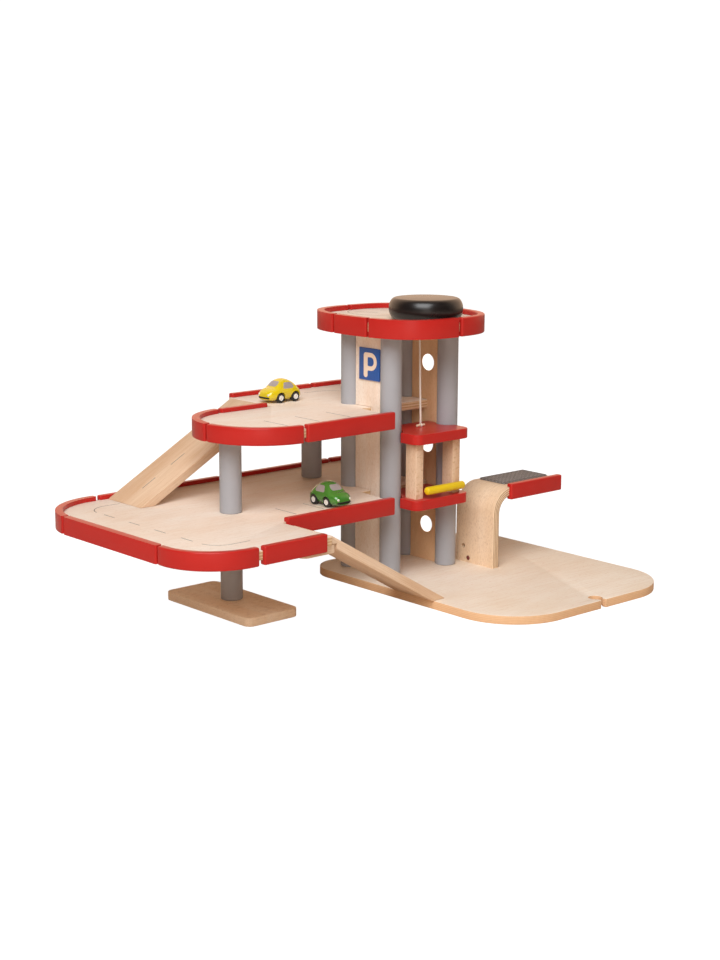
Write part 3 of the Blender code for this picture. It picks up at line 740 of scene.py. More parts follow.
def fillet(corners: Sequence[Corner], step: float = 4.0) -> list[Point]:
    """Rounds each corner of an outline to its radius.

    Args:
        corners: x, y and radius of each corner.
        step: degrees of each arc step.

    Returns:
        The outline's points.
    """
    # No arc step is shorter than this, so that small corners stay coarse enough to round again.
    shortest = 0.35
    points: list[Point] = []
    count = len(corners)
    for index, (x, y, radius) in enumerate(corners):
        here = Vector((x, y))
        before = (Vector(corners[index - 1][:2]) - here).normalized()
        after = (Vector(corners[(index + 1) % count][:2]) - here).normalized()
        if radius <= 0:
            points.append((here.x, here.y))
            continue
        half = before.angle(after) / 2
        reach = radius / math.tan(half)
        centre = here + (before + after).normalized() * (radius / math.sin(half))
        start = here + before * reach - centre
        end = here + after * reach - centre
        sweep = start.angle_signed(end)
        steps = max(2, round(abs(math.degrees(sweep)) / step))
        steps = max(1, min(steps, int(abs(sweep) * radius / shortest)))
        for k in range(steps + 1):
            spoke = start.copy()
            spoke.rotate(Matrix.Rotation(-sweep * k / steps, 2))
            points.append((centre.x + spoke.x, centre.y + spoke.y))
    return points


def rectangle(low: Point, high: Point) -> list[Point]:
    """Returns a rectangle's corners, counter-clockwise."""
    return [low, (high[0], low[1]), high, (low[0], high[1])]


def rounded(low: Point, high: Point, radius: float, step: float) -> list[Point]:
    """Returns a rectangle with rounded corners, in arc steps of some degrees."""
    return fillet([(x, y, radius) for x, y in rectangle(low, high)], step)


def circle(x: float, y: float, radius: float, steps: int = 48) -> list[Point]:
    """Returns a circle's points, counter-clockwise."""
    angles = [math.tau * k / steps for k in range(steps)]
    return [(x + radius * math.cos(a), y + radius * math.sin(a)) for a in angles]


def oval(half_x: float, half_y: float, power: float, steps: int = 132) -> list[Point]:
    """Returns a squarish oval's points, counter-clockwise.

    Args:
        half_x: half its size along x.
        half_y: half its size along y.
        power: how square it is; 2 gives an ellipse.
        steps: the number of points.

    Returns:
        The points.
    """
    points: list[Point] = []
    for k in range(steps):
        c, s = math.cos(math.tau * k / steps), math.sin(math.tau * k / steps)
        radius = (abs(c / half_x) ** power + abs(s / half_y) ** power) ** (-1 / power)
        points.append((radius * c, radius * s))
    return points


def shifted(points: Sequence[Point], distance: float, closed: bool = True) -> list[Point]:
    """Moves a path to the right of its direction.

    Args:
        points: the path.
        distance: how far.
        closed: whether the path closes on itself.

    Returns:
        The moved path.
    """
    # A very sharp corner moves no further than the distance divided by this.
    sharpest = 0.3
    moved: list[Point] = []
    count = len(points)
    for index in range(count):
        here = Vector(points[index])
        before = Vector(points[index - 1]) if closed or index else None
        after = Vector(points[(index + 1) % count]) if closed or index < count - 1 else None
        into = (here - before).normalized() if before is not None else (after - here).normalized()
        out = (after - here).normalized() if after is not None else into
        sides = [Vector((d.y, -d.x)) for d in (into, out)]
        middle = (sides[0] + sides[1]).normalized()
        place = here + middle * (distance / max(sharpest, middle.dot(sides[0])))
        moved.append((place.x, place.y))
    return moved


def nearest(points: Sequence[Point], target: Point) -> tuple[int, Vector]:
    """Finds the place on a closed outline that lies nearest to a point.

    Args:
        points: the outline.
        target: the point.

    Returns:
        The index of the edge that the place is on, and the place.
    """
    best_gap, best_index, best_spot = math.inf, 0, Vector(target)
    for index, point in enumerate(points):
        a = Vector(point)
        b = Vector(points[(index + 1) % len(points)])
        share = (Vector(target) - a).dot(b - a) / (b - a).length_squared
        spot = a.lerp(b, min(1.0, max(0.0, share)))
        gap = (Vector(target) - spot).length
        if gap < best_gap - 1e-9:
            best_gap, best_index, best_spot = gap, index, spot
    return best_index, best_spot


def along(points: Sequence[Point], start: Point, end: Point) -> list[Point]:
    """Follows a closed outline counter-clockwise.

    Args:
        points: the outline.
        start: a point near where the path begins.
        end: a point near where it ends.

    Returns:
        The open path between them.
    """
    # A point that lies nearer than this to the last one is left out.
    closest = 0.5
    index, first = nearest(points, start)
    last_index, last = nearest(points, end)
    path = [first]
    while index != last_index:
        index = (index + 1) % len(points)
        path.append(Vector(points[index]))
    path.append(last)
    kept = [path[0]]
    for point in path[1:]:
        if (point - kept[-1]).length > closest:
            kept.append(point)
    kept[-1] = path[-1]
    return [(p.x, p.y) for p in kept]


@contextmanager
def opened(mesh: bpy.types.Mesh) -> Iterator[bmesh.types.BMesh]:
    """Opens a mesh for editing and writes it back.

    Args:
        mesh: the mesh.

    Yields:
        The open mesh.
    """
    shell = bmesh.new()
    shell.from_mesh(mesh)
    yield shell
    shell.to_mesh(mesh)
    shell.free()


def evaluated(guide: bpy.types.Object) -> bpy.types.Mesh:
    """Makes the mesh that a guide object comes to, and removes the guide.

    Args:
        guide: an object that isn't in the scene yet.

    Returns:
        The mesh.
    """
    bpy.context.scene.collection.objects.link(guide)
    bpy.context.view_layer.update()
    graph = bpy.context.evaluated_depsgraph_get()
    mesh = bpy.data.meshes.new_from_object(guide.evaluated_get(graph))
    bpy.data.objects.remove(guide, do_unlink=True)
    return mesh


class Shape:
    """A mesh in the making, in millimetres turned to metres, that becomes one named piece."""

    def __init__(self, mesh: bpy.types.Mesh) -> None:
        """Takes over a mesh."""
        self.mesh = mesh

    @classmethod
    def flat(cls, loops: Iterable[Sequence[Point]], low: float, high: float) -> Shape:
        """Makes a level board.

        Args:
            loops: the outline and then its holes.
            low: height of the underside.
            high: height of the top.

        Returns:
            The shape.
        """
        curve = bpy.data.curves.new("outline", "CURVE")
        curve.dimensions = "2D"
        curve.fill_mode = "BOTH"
        curve.extrude = (high - low) * MM / 2
        for loop in loops:
            spline = curve.splines.new("POLY")
            spline.points.add(len(loop) - 1)
            for point, (x, y) in zip(spline.points, loop):
                point.co = (x * MM, y * MM, 0, 1)
            spline.use_cyclic_u = True
        shape = cls.cleaned(evaluated(bpy.data.objects.new("outline", curve)))
        bpy.data.curves.remove(curve)
        return shape.moved((0, 0, (low + high) / 2))

    @classmethod
    def turned(cls, profile: Sequence[Point], steps: int = 64) -> Shape:
        """Turns a profile round the Z axis.

        Args:
            profile: the radius and height of each point.
            steps: the number of faces round the axis.

        Returns:
            The shape.
        """
        line = bpy.data.meshes.new("profile")
        points = [(radius * MM, 0, height * MM) for radius, height in profile]
        line.from_pydata(points, [(k, k + 1) for k in range(len(points) - 1)], [])
        guide = bpy.data.objects.new("profile", line)
        screw = guide.modifiers.new("turning", "SCREW")
        screw.steps = steps
        screw.render_steps = steps
        screw.use_merge_vertices = True
        screw.merge_threshold = 0.00001
        return cls.cleaned(evaluated(guide))

    @classmethod
    def tube(cls, points: Sequence[Sequence[float]], radius: float, smooth: bool = True) -> Shape:
        """Makes a round tube.

        Args:
            points: the path of its middle, in space.
            radius: the tube's radius.
            smooth: whether the path is drawn as a smooth curve.

        Returns:
            The shape.
        """
        curve = bpy.data.curves.new("path", "CURVE")
        curve.dimensions = "3D"
        curve.bevel_depth = radius * MM
        curve.bevel_resolution = 4
        curve.use_fill_caps = True
        curve.resolution_u = 6
        spline = curve.splines.new("NURBS" if smooth else "POLY")
        spline.points.add(len(points) - 1)
        for point, spot in zip(spline.points, points):
            point.co = (*(value * MM for value in spot), 1)
        if smooth:
            spline.use_endpoint_u = True
            spline.order_u = 4
        shape = cls.cleaned(evaluated(bpy.data.objects.new("path", curve)))
        bpy.data.curves.remove(curve)
        return shape

    @classmethod
    def cleaned(cls, mesh: bpy.types.Mesh) -> Shape:
        """Joins doubled points and flat faces of a mesh and turns its faces outwards.

        Args:
            mesh: the mesh.

        Returns:
            The mesh as a shape.
        """
        with opened(mesh) as shell:
            bmesh.ops.remove_doubles(shell, verts=shell.verts, dist=1e-6)
            bmesh.ops.dissolve_limit(
                shell, angle_limit=math.radians(0.3), verts=shell.verts, edges=shell.edges
            )
            bmesh.ops.recalc_face_normals(shell, faces=shell.faces)
        return cls(mesh)

    def moved(self, offset: Sequence[float]) -> Shape:
        """Moves the shape by millimetres."""
        self.mesh.transform(Matrix.Translation(Vector(offset) * MM))
        return self

    def rotated(self, degrees: float, axis: Axis) -> Shape:
        """Turns the shape about an axis through the origin."""
        self.mesh.transform(Matrix.Rotation(math.radians(degrees), 4, axis.value))
        return self

    def standing(self, axis: Axis, low: float, high: float) -> Shape:
        """Stands a board that was drawn flat, of any height, up across an axis.

        Args:
            axis: X, where the drawing's x becomes y, or Y, where it stays x.
            low: where the board begins along the axis.
            high: where it ends.

        Returns:
            This shape, changed.
        """
        heights = [vertex.co.z for vertex in self.mesh.vertices]
        bottom, top = min(heights), max(heights)
        scale = (high - low) * MM / (top - bottom)
        self.mesh.transform(Matrix.Translation((0, 0, -(bottom + top) / 2)))
        self.mesh.transform(Matrix.Diagonal((1, 1, scale, 1)))
        self.rotated(90, Axis.X)
        middle = (low + high) / 2
        if axis is Axis.X:
            return self.rotated(90, Axis.Z).moved((middle, 0, 0))
        return self.moved((0, middle, 0))

    def modified(self, kind: str, settings: dict[str, Any]) -> Shape:
        """Applies one modifier.

        Args:
            kind: the modifier's type.
            settings: its properties.

        Returns:
            This shape, changed.
        """
        guide = bpy.data.objects.new("guide", self.mesh)
        modifier = guide.modifiers.new("change", kind)
        for key, value in settings.items():
            setattr(modifier, key, value)
        self.mesh = evaluated(guide)
        return self

    def soft(self, width: float, segments: int = 3, angle: float = 40.0) -> Shape:
        """Rounds the sharp edges.

        Args:
            width: how far the rounding reaches from the edge.
            segments: its steps.
            angle: edges sharper than this many degrees are rounded.

        Returns:
            This shape, changed.
        """
        settings = {
            "width": width * MM,
            "segments": segments,
            "limit_method": "ANGLE",
            "angle_limit": math.radians(angle),
            "use_clamp_overlap": True,
            "miter_outer": "MITER_ARC",
        }
        return self.modified("BEVEL", settings)

    def combined(self, other: Shape, operation: str) -> Shape:
        """Combines this shape with another one.

        Args:
            other: the other shape.
            operation: the Boolean modifier's operation.

        Returns:
            This shape, changed.
        """
        guide = bpy.data.objects.new("guide", other.mesh)
        bpy.context.scene.collection.objects.link(guide)
        self.modified("BOOLEAN", {"operation": operation, "solver": "EXACT", "object": guide})
        bpy.data.objects.remove(guide, do_unlink=True)
        return self

    def cut(self, other: Shape) -> Shape:
        """Takes another shape away from this one."""
        return self.combined(other, "DIFFERENCE")

    def common(self, other: Shape) -> Shape:
        """Keeps what this shape and another one share."""
        return self.combined(other, "INTERSECT")

    def swollen(self, distance: float) -> Shape:
        """Moves every vertex out along its normal.

        Args:
            distance: how far.

        Returns:
            This shape, changed.
        """
        with opened(self.mesh) as shell:
            shell.normal_update()
            for vertex, normal in [(vertex, vertex.normal.copy()) for vertex in shell.verts]:
                vertex.co += normal * distance * MM
        return self

    def joined(self, *others: Shape) -> Shape:
        """Adds other shapes' faces to this one.

        Args:
            others: the other shapes.

        Returns:
            This shape, changed.
        """
        with opened(self.mesh) as shell:
            for shape in others:
                shell.from_mesh(shape.mesh)
        return self

    def piece(
        self,
        name: str,
        finish: Finish,
        slot: Slot,
        body: Body | None = Body.GARAGE,
        in_cad: bool = True,
        smooth: float = 35.0,
    ) -> bpy.types.Object:
        """Turns the shape into a piece of the object.

        Args:
            name: the piece's name.
            finish: its finish.
            slot: the record's material slot; not used.
            body: the moving body that it rides on, if it rides on one alone.
            in_cad: whether it stands for the CAD node of the same name.
            smooth: edges flatter than this many degrees are shaded round.

        Returns:
            The new object.
        """
        self.mesh.name = name
        obj = bpy.data.objects.new(name, self.mesh)
        bpy.context.scene.collection.objects.link(obj)
        self.mesh.materials.clear()
        self.mesh.materials.append(finish.material())
        self.shade_round(smooth)
        if body is not None:
            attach(obj, body.value)
        if in_cad:
            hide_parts(name)
        LOG.info("%s: %d faces", name, len(self.mesh.polygons))
        return obj

    def shade_round(self, degrees: float) -> None:
        """Shades round over the flatter edges and keeps the steeper ones sharp.

        Args:
            degrees: the angle between the two kinds.
        """
        with opened(self.mesh) as shell:
            for face in shell.faces:
                face.smooth = True
            for edge in shell.edges:
                alone = len(edge.link_faces) != 2
                edge.smooth = not (alone or edge.calc_face_angle(0) > math.radians(degrees))


@dataclass
class Level:
    """One deck or the roof: its board and the red rails pushed over its edge.

    Rails are a name, a start and an end, counter-clockwise round the outline. Holes are x, y and radius.
    """

    name: str
    outline: Sequence[Point]
    bottom: float
    rails: Sequence[tuple[str, Point, Point]]
    holes: Sequence[Corner]
    rail_height: float = 20.0
    finish: Finish = DECK
    edge: float = 0.8
    groove: float = 10.6
    play: float = 0.3
    through: float = 4.0

    def build(self) -> None:
        """Makes the board and its rails."""
        top = self.bottom + PLAN.board
        board = Shape.flat([self.outline], self.bottom, top).soft(self.edge)
        for x, y, radius in self.holes:
            board.cut(Shape.flat([circle(x, y, radius)], self.bottom - self.through, top + self.through))
        board.piece(self.name, self.finish, Slot.PLYWOOD)
        for name, start, end in self.rails:
            self.rail(name, start, end)

    def rail(self, name: str, start: Point, end: Point) -> None:
        """Makes one grooved rail.

        Args:
            name: the rail's name.
            start: where it begins.
            end: where it ends, counter-clockwise.
        """
        path = along(self.outline, start, end)
        outer = shifted(path, PLAN.rail_out, closed=False)
        inner = shifted(path, -PLAN.rail_in, closed=False)
        ring = [(*point, 0.0) for point in (*outer, *reversed(inner))]
        for corner in (0, len(outer) - 1, len(outer), len(ring) - 1):
            ring[corner] = (*ring[corner][:2], PLAN.rail_corner)
        middle = self.bottom + PLAN.board / 2
        half = self.rail_height / 2
        strip = Shape.flat([fillet(ring, step=18.0)], middle - half, middle + half)
        strip.soft(PLAN.rail_edge, segments=4, angle=50.0)
        slot = shifted(self.outline, self.play)
        strip.cut(Shape.flat([slot], middle - self.groove / 2, middle + self.groove / 2))
        strip.piece(name, RED, Slot.RED)


POST_HOLES = tuple((x, PLAN.post_y, PLAN.post_radius + PLAN.seam) for x in (-PLAN.post_x, PLAN.post_x))
LOWER = Level(
    "lower_deck",
    fillet(
        (
            (-238.15, -153.55, 3.0),
            (-238.15, -69.05, 0.0),
            (-73.0, -69.05, 0.0),
            (-65.0, -4.75, 0.0),
            (69.8, -4.75, 3.0),
            (69.8, 161.05, 30.0),
            (-410.95, 161.05, 74.0),
            (-410.95, -153.55, 62.8),
        )
    ),
    PLAN.decks[0],
    (
        ("lower_rail_right_end", (69.8, 8.0), (28.0, 161.05)),
        ("lower_rail_back_1", (24.0, 161.05), (-146.0, 161.05)),
        ("lower_rail_back_2", (-150.0, 161.05), (-324.5, 161.05)),
        ("lower_rail_left_arc", (-329.5, 161.05), (-410.95, 96.3)),
        ("lower_rail_left", (-410.95, 93.5), (-410.95, -80.8)),
        ("lower_rail_front_arc", (-410.95, -83.6), (-340.0, -153.55)),
        ("lower_rail_front", (-333.6, -153.55), (-248.5, -153.55)),
        ("lower_rail_inner", (-233.5, -69.05), (-73.3, -69.05)),
    ),
    POST_HOLES,
)
MID = Level(
    "mid_deck",
    fillet(
        (
            (-73.0, -68.55, 0.0),
            (-65.0, -4.75, 0.0),
            (69.8, -4.75, 3.0),
            (69.8, 161.05, 30.0),
            (-134.15, 161.05, 2.0),
            (-134.15, 78.05, 0.0),
            (-281.45, 78.05, 73.2),
            (-281.45, -68.55, 73.2),
        )
    ),
    PLAN.decks[1],
    (
        ("mid_rail_right_end", (69.8, 8.0), (69.8, 127.0)),
        ("mid_rail_back_1", (66.0, 140.0), (-1.2, 161.05)),
        ("mid_rail_back_2", (-4.4, 161.05), (-131.1, 161.05)),
        ("mid_rail_ramp_side", (-142.6, 78.05), (-210.8, 78.05)),
        ("mid_rail_end_arc", (-215.0, 78.05), (-281.0, 7.5)),
        ("mid_rail_front_arc", (-281.0, 4.5), (-209.0, -68.55)),
        ("mid_rail_front", (-204.0, -68.55), (-73.3, -68.55)),
    ),
    POST_HOLES,
)
TOP = Level(
    "roof_deck",
    oval(78.2, 94.0, 2.85),
    PLAN.roof_bottom,
    (
        ("roof_rail_left", (-78.2, 26.5), (-78.2, -28.5)),
        ("roof_rail_front", (-78.0, -31.7), (2.2, -94.0)),
        ("roof_rail_right", (5.5, -94.0), (78.2, -24.4)),
        ("roof_rail_right_back", (78.2, -21.2), (1.2, 94.0)),
        ("roof_rail_left_back", (-2.1, 94.0), (-78.2, 30.0)),
    ),
    ((0.0, PLAN.winder_y, 3.3), (0.0, PLAN.string_y, 2.2)),
    rail_height=22.0,
    finish=ROOF,
)


@dataclass
class Ground:
    """The base board with its jigsaw socket, and the foot board.

    The socket's neck is half its width, and its depth is from the front edge to the middle of the head.
    """

    corners: Sequence[Corner] = (
        (-83.65, -271.35, 75.0),
        (200.35, -271.35, 70.0),
        (200.35, 71.25, 45.0),
        (-83.65, 71.25, 35.0),
    )
    edge: float = 0.8
    socket_x: float = 65.85
    socket_neck: float = 4.0
    socket_radius: float = 8.0
    socket_depth: float = 13.0
    through: float = 5.0
    foot_low: Point = (-286.8, -69.6)
    foot_high: Point = (-214.8, 85.8)
    foot_corner: float = 9.0
    foot_edge: float = 0.9

    def build(self) -> None:
        """Makes both boards."""
        base = Shape.flat([fillet(self.corners, step=3.0)], 0, PLAN.board)
        base.cut(Shape.flat([self.socket()], -self.through, PLAN.board + self.through))
        base.soft(self.edge).piece("base_plate", BASE, Slot.PLYWOOD)
        foot = rounded(self.foot_low, self.foot_high, self.foot_corner, step=10.0)
        plate = Shape.flat([foot], 0, PLAN.board).soft(self.foot_edge)
        plate.piece("foot_plate", BEECH, Slot.BEECH)

    def socket(self) -> list[Point]:
        """Draws the jigsaw socket in the front edge.

        Returns:
            Its outline.
        """
        steps = 40
        front = self.corners[0][1]
        opening = math.asin(self.socket_neck / self.socket_radius)
        head = []
        for k in range(steps + 1):
            angle = -math.pi / 2 + opening + (math.tau - 2 * opening) * k / steps
            x = self.socket_x + self.socket_radius * math.cos(angle)
            head.append((x, front + self.socket_depth + self.socket_radius * math.sin(angle)))
        outside = front - self.through
        left, right = self.socket_x - self.socket_neck, self.socket_x + self.socket_neck
        return [(left, outside), (right, outside), *head]


@dataclass
class Tower:
    """Posts, columns and wall panels; posts are a name, x, y and the faces that they stand between."""

    posts: Sequence[tuple[str, float, float, float, float]] = (
        ("tower_post_front_left", -PLAN.post_x, -PLAN.post_y, PLAN.board, PLAN.roof_bottom),
        ("tower_post_front_right", PLAN.post_x, -PLAN.post_y, PLAN.board, PLAN.roof_bottom),
        ("tower_post_back_left", -PLAN.post_x, PLAN.post_y, PLAN.board, PLAN.roof_bottom),
        ("tower_post_back_right", PLAN.post_x, PLAN.post_y, PLAN.board, PLAN.roof_bottom),
        ("foot_column", -248.65, 9.35, PLAN.board, PLAN.decks[0]),
        ("column_left", -248.65, 9.35, PLAN.decks[0] + PLAN.board, PLAN.decks[1]),
        ("column_back", -51.45, 102.65, PLAN.decks[0] + PLAN.board, PLAN.decks[1]),
    )
    chamfer: float = 0.6
    peg_radius: float = 6.0
    peg_length: float = 3.9
    wall_half: float = 21.95
    wall_notch: float = -5.05
    wall_edge: float = 0.6
    left_wall: tuple[float, float] = (-51.15, -41.15)
    right_wall: tuple[float, float] = (41.35, 50.85)
    window_y: float = -5.75
    window_radius: float = 10.0
    window_heights: tuple[float, ...] = (55.5, 155.5, 255.5)

    def build(self) -> None:
        """Makes every upright."""
        for name, x, y, low, high in self.posts:
            post = Shape.turned(self.profile(low + PLAN.seam, high - PLAN.seam))
            post.moved((x, y, 0)).piece(name, GREY, Slot.GREY)
        side = self.side()
        wall = Shape.flat([side], 0, 1).standing(Axis.X, *self.left_wall).soft(self.wall_edge)
        wall.piece("sign_panel", PANEL, Slot.PLYWOOD)
        windows = [circle(self.window_y, z, self.window_radius) for z in self.window_heights]
        wall = Shape.flat([side, *windows], 0, 1).standing(Axis.X, *self.right_wall)
        wall.soft(self.wall_edge)
        # The window panel takes the darker copy of the panel plywood, which is painted shade.
        self.paint_holes(wall.piece("window_panel", PANEL_PAINTED_SHADE, Slot.PLYWOOD))

    def profile(self, low: float, high: float) -> list[Point]:
        """Returns the radius and height of a post's points, with the peg at each end.

        Args:
            low: height of the post's shoulder at the bottom.
            high: height of its shoulder at the top.

        Returns:
            The points.
        """
        flat = PLAN.post_radius - self.chamfer
        return [
            (0, low - self.peg_length),
            (self.peg_radius, low - self.peg_length),
            (self.peg_radius, low),
            (flat, low),
            (PLAN.post_radius, low + self.chamfer),
            (PLAN.post_radius, high - self.chamfer),
            (flat, high),
            (self.peg_radius, high),
            (self.peg_radius, high + self.peg_length),
            (0, high + self.peg_length),
        ]

    def side(self) -> list[Point]:
        """Draws a wall panel with its half-laps for the decks.

        Returns:
            Its outline in Y and Z.
        """
        bottom, top = PLAN.board + PLAN.seam, PLAN.roof_bottom - PLAN.seam
        side: list[Point] = [(-self.wall_half, bottom), (self.wall_half, bottom)]
        for level in PLAN.decks:
            low, high = level - PLAN.seam, level + PLAN.board + PLAN.seam
            side += [
                (self.wall_half, low),
                (self.wall_notch, low),
                (self.wall_notch, high),
                (self.wall_half, high),
            ]
        return [*side, (self.wall_half, top), (-self.wall_half, top)]

    def paint_holes(self, panel: bpy.types.Object) -> None:
        """Gives the walls of the round windows a white finish that glows: painted light, as if light shone
        in through the windows.

        Args:
            panel: the wall panel with the windows.
        """
        panel.data.materials.append(PAINTED_GLOW.material())
        middles = [Vector((self.window_y, z)) * MM for z in self.window_heights]
        for face in panel.data.polygons:
            reach = min((face.center.yz - middle).length for middle in middles)
            if abs(face.normal.x) < 0.5 and reach < (self.window_radius + 0.5) * MM:
                face.material_index = 1


@dataclass
class Sign:
    """The blue parking sign and its pale letter, on the tower's left wall.

    The letter's left, bottom, width and height are of its outline, and bowl is how far its bowl hangs down.
    """

    low: Point = (-22.0, 242.0)
    high: Point = (13.6, 280.0)
    corner: float = 0.8
    face: float = -51.45
    thickness: float = 1.6
    edge: float = 0.3
    ink: tuple[float, float] = (0.02, 0.12)
    left: float = 5.3
    bottom: float = 245.2
    width: float = 22.6
    height: float = 29.4
    stem: float = 6.8
    stroke: float = 5.2
    bowl: float = 21.0

    def build(self) -> None:
        """Makes the plate and the letter."""
        surface = self.face - self.thickness
        plate = Shape.flat([rounded(self.low, self.high, self.corner, step=15.0)], 0, 1)
        plate.standing(Axis.X, surface, self.face).soft(self.edge)
        plate.piece("parking_sign", SIGN_BLUE, Slot.SIGN)
        near, far = self.ink
        mark = Shape.flat(self.letter(), 0, 1).standing(Axis.X, surface - far, surface - near)
        mark.piece("parking_sign_letter", SIGN_CREAM, Slot.SIGN, in_cad=False)

    def letter(self) -> list[list[Point]]:
        """Draws the letter.

        Returns:
            Its outline and the hole in its bowl, in Y and Z.
        """
        under = self.height - self.bowl
        body = (
            (0.0, 0.0, 3.3),
            (self.stem, 0.0, 3.3),
            (self.stem, under, 1.2),
            (self.width, under, 10.2),
            (self.width, self.height, 10.4),
            (0.0, self.height, 3.4),
        )
        counter = (
            (self.stem, under + self.stroke, 1.2),
            (self.width - self.stroke, under + self.stroke, 5.0),
            (self.width - self.stroke, self.height - self.stroke, 5.0),
            (self.stem, self.height - self.stroke, 1.2),
        )
        outlines = [fillet(corners, step=10.0) for corners in (body, counter)]
        return [[(self.left - y, self.bottom + z) for y, z in outline] for outline in outlines]


@dataclass
class Ramp:
    """A ramp with a wedge-cut foot and the ledge block that carries its upper end.

    Edge is x of the deck's edge and top the deck's top. Towards is 1 for a ramp that falls to +X and -1 for
    one that falls to -X. Dashes are the starts and ends of the lane's dashes, measured down the ramp.
    """

    name: str
    body: Body
    edge: float
    top: float
    side: tuple[float, float]
    towards: int
    finish: Wood
    run: float = 171.0
    dashes: Sequence[tuple[float, float]] = ()
    ledge_inset: float = 0.0
    thickness: float = 10.0
    gap: float = 1.2
    drop: float = 0.4
    tongue: float = 8.5
    tongue_depth: float = 9.8
    rounding: float = 0.9
    ledge_back: float = 37.0
    ledge_front: float = 7.0
    ledge_corner: float = 9.0
    ledge_front_corner: float = 1.5
    ledge_top: float = 10.4
    ledge_edge: float = 1.0

    def build(self) -> None:
        """Makes the ramp, the lane printed on it and its ledge block."""
        slope = PLAN.storey / self.run
        start = self.edge + self.towards * self.gap
        points = [(start + self.towards * x, z) for x, z in self.outline(slope)]
        if self.towards > 0:
            points.reverse()
        finish = replace(self.finish, lean=self.towards * slope)
        ramp = Shape.flat([points], 0, 1).standing(Axis.Y, *self.side)
        ramp.soft(self.rounding, angle=30.0)
        ramp.piece(f"ramp_{self.name}", finish, Slot.BIRCH, self.body)
        if self.dashes:
            self.lane(start, slope)
        self.ledge()

    def outline(self, slope: float) -> list[Point]:
        """Returns the ramp's side view.

        Args:
            slope: fall of the ramp for each step along it.

        Returns:
            How far each point lies from the upper end, and its height.
        """
        nose, toe_cut, toe_edge = 0.7, 1.2, 0.6
        sunk = self.thickness * math.sqrt(1 + slope * slope)
        floor = self.top - PLAN.storey + PLAN.seam
        notch = self.top - self.tongue_depth
        toe = (self.top - floor) / slope
        heel = (self.top - sunk - floor) / slope
        return [
            (0.0, self.top - self.drop),
            (nose, self.top - slope * nose),
            (toe - toe_cut, self.top - slope * (toe - toe_cut)),
            (toe - toe_edge, floor),
            (heel, floor),
            (self.tongue, self.top - slope * self.tongue - sunk),
            (self.tongue, notch),
            (0.0, notch),
        ]

    def ledge(self) -> None:
        """Makes the block under the deck's edge that the ramp's upper end lies on."""
        back = self.edge - self.towards * self.ledge_back
        ends = sorted((back, self.edge + self.towards * self.ledge_front))
        low, high = (ends[0], self.side[0] + self.ledge_inset), (ends[1], self.side[1])
        corners = [
            (x, y, self.ledge_corner if x == back else self.ledge_front_corner)
            for x, y in rectangle(low, high)
        ]
        top = self.top - self.ledge_top
        block = Shape.flat([fillet(corners, step=12.0)], top - PLAN.board, top).soft(self.ledge_edge)
        block.piece(f"cleat_{self.name}", BIRCH, Slot.BIRCH)

    def lane(self, start: float, slope: float) -> None:
        """Prints the dashes of the lane on the ramp.

        Args:
            start: x of the ramp's upper end.
            slope: fall of the ramp for each step along it.
        """
        middle = sum(self.side) / 2
        half = Markings.width / 2
        strips = []
        for near, far in self.dashes:
            ends = sorted((self.towards * near, self.towards * far))
            loop = rectangle((ends[0], middle - half), (ends[1], middle + half))
            strips.append(Shape.flat([loop], Markings.lift, Markings.lift + Markings.ink))
        group = strips[0].joined(*strips[1:])
        group.rotated(self.towards * math.degrees(math.atan(slope)), Axis.Y).moved((start, 0, self.top))
        group.piece(f"ramp_{self.name}_dashes", PRINT, Slot.BIRCH, self.body, in_cad=False)


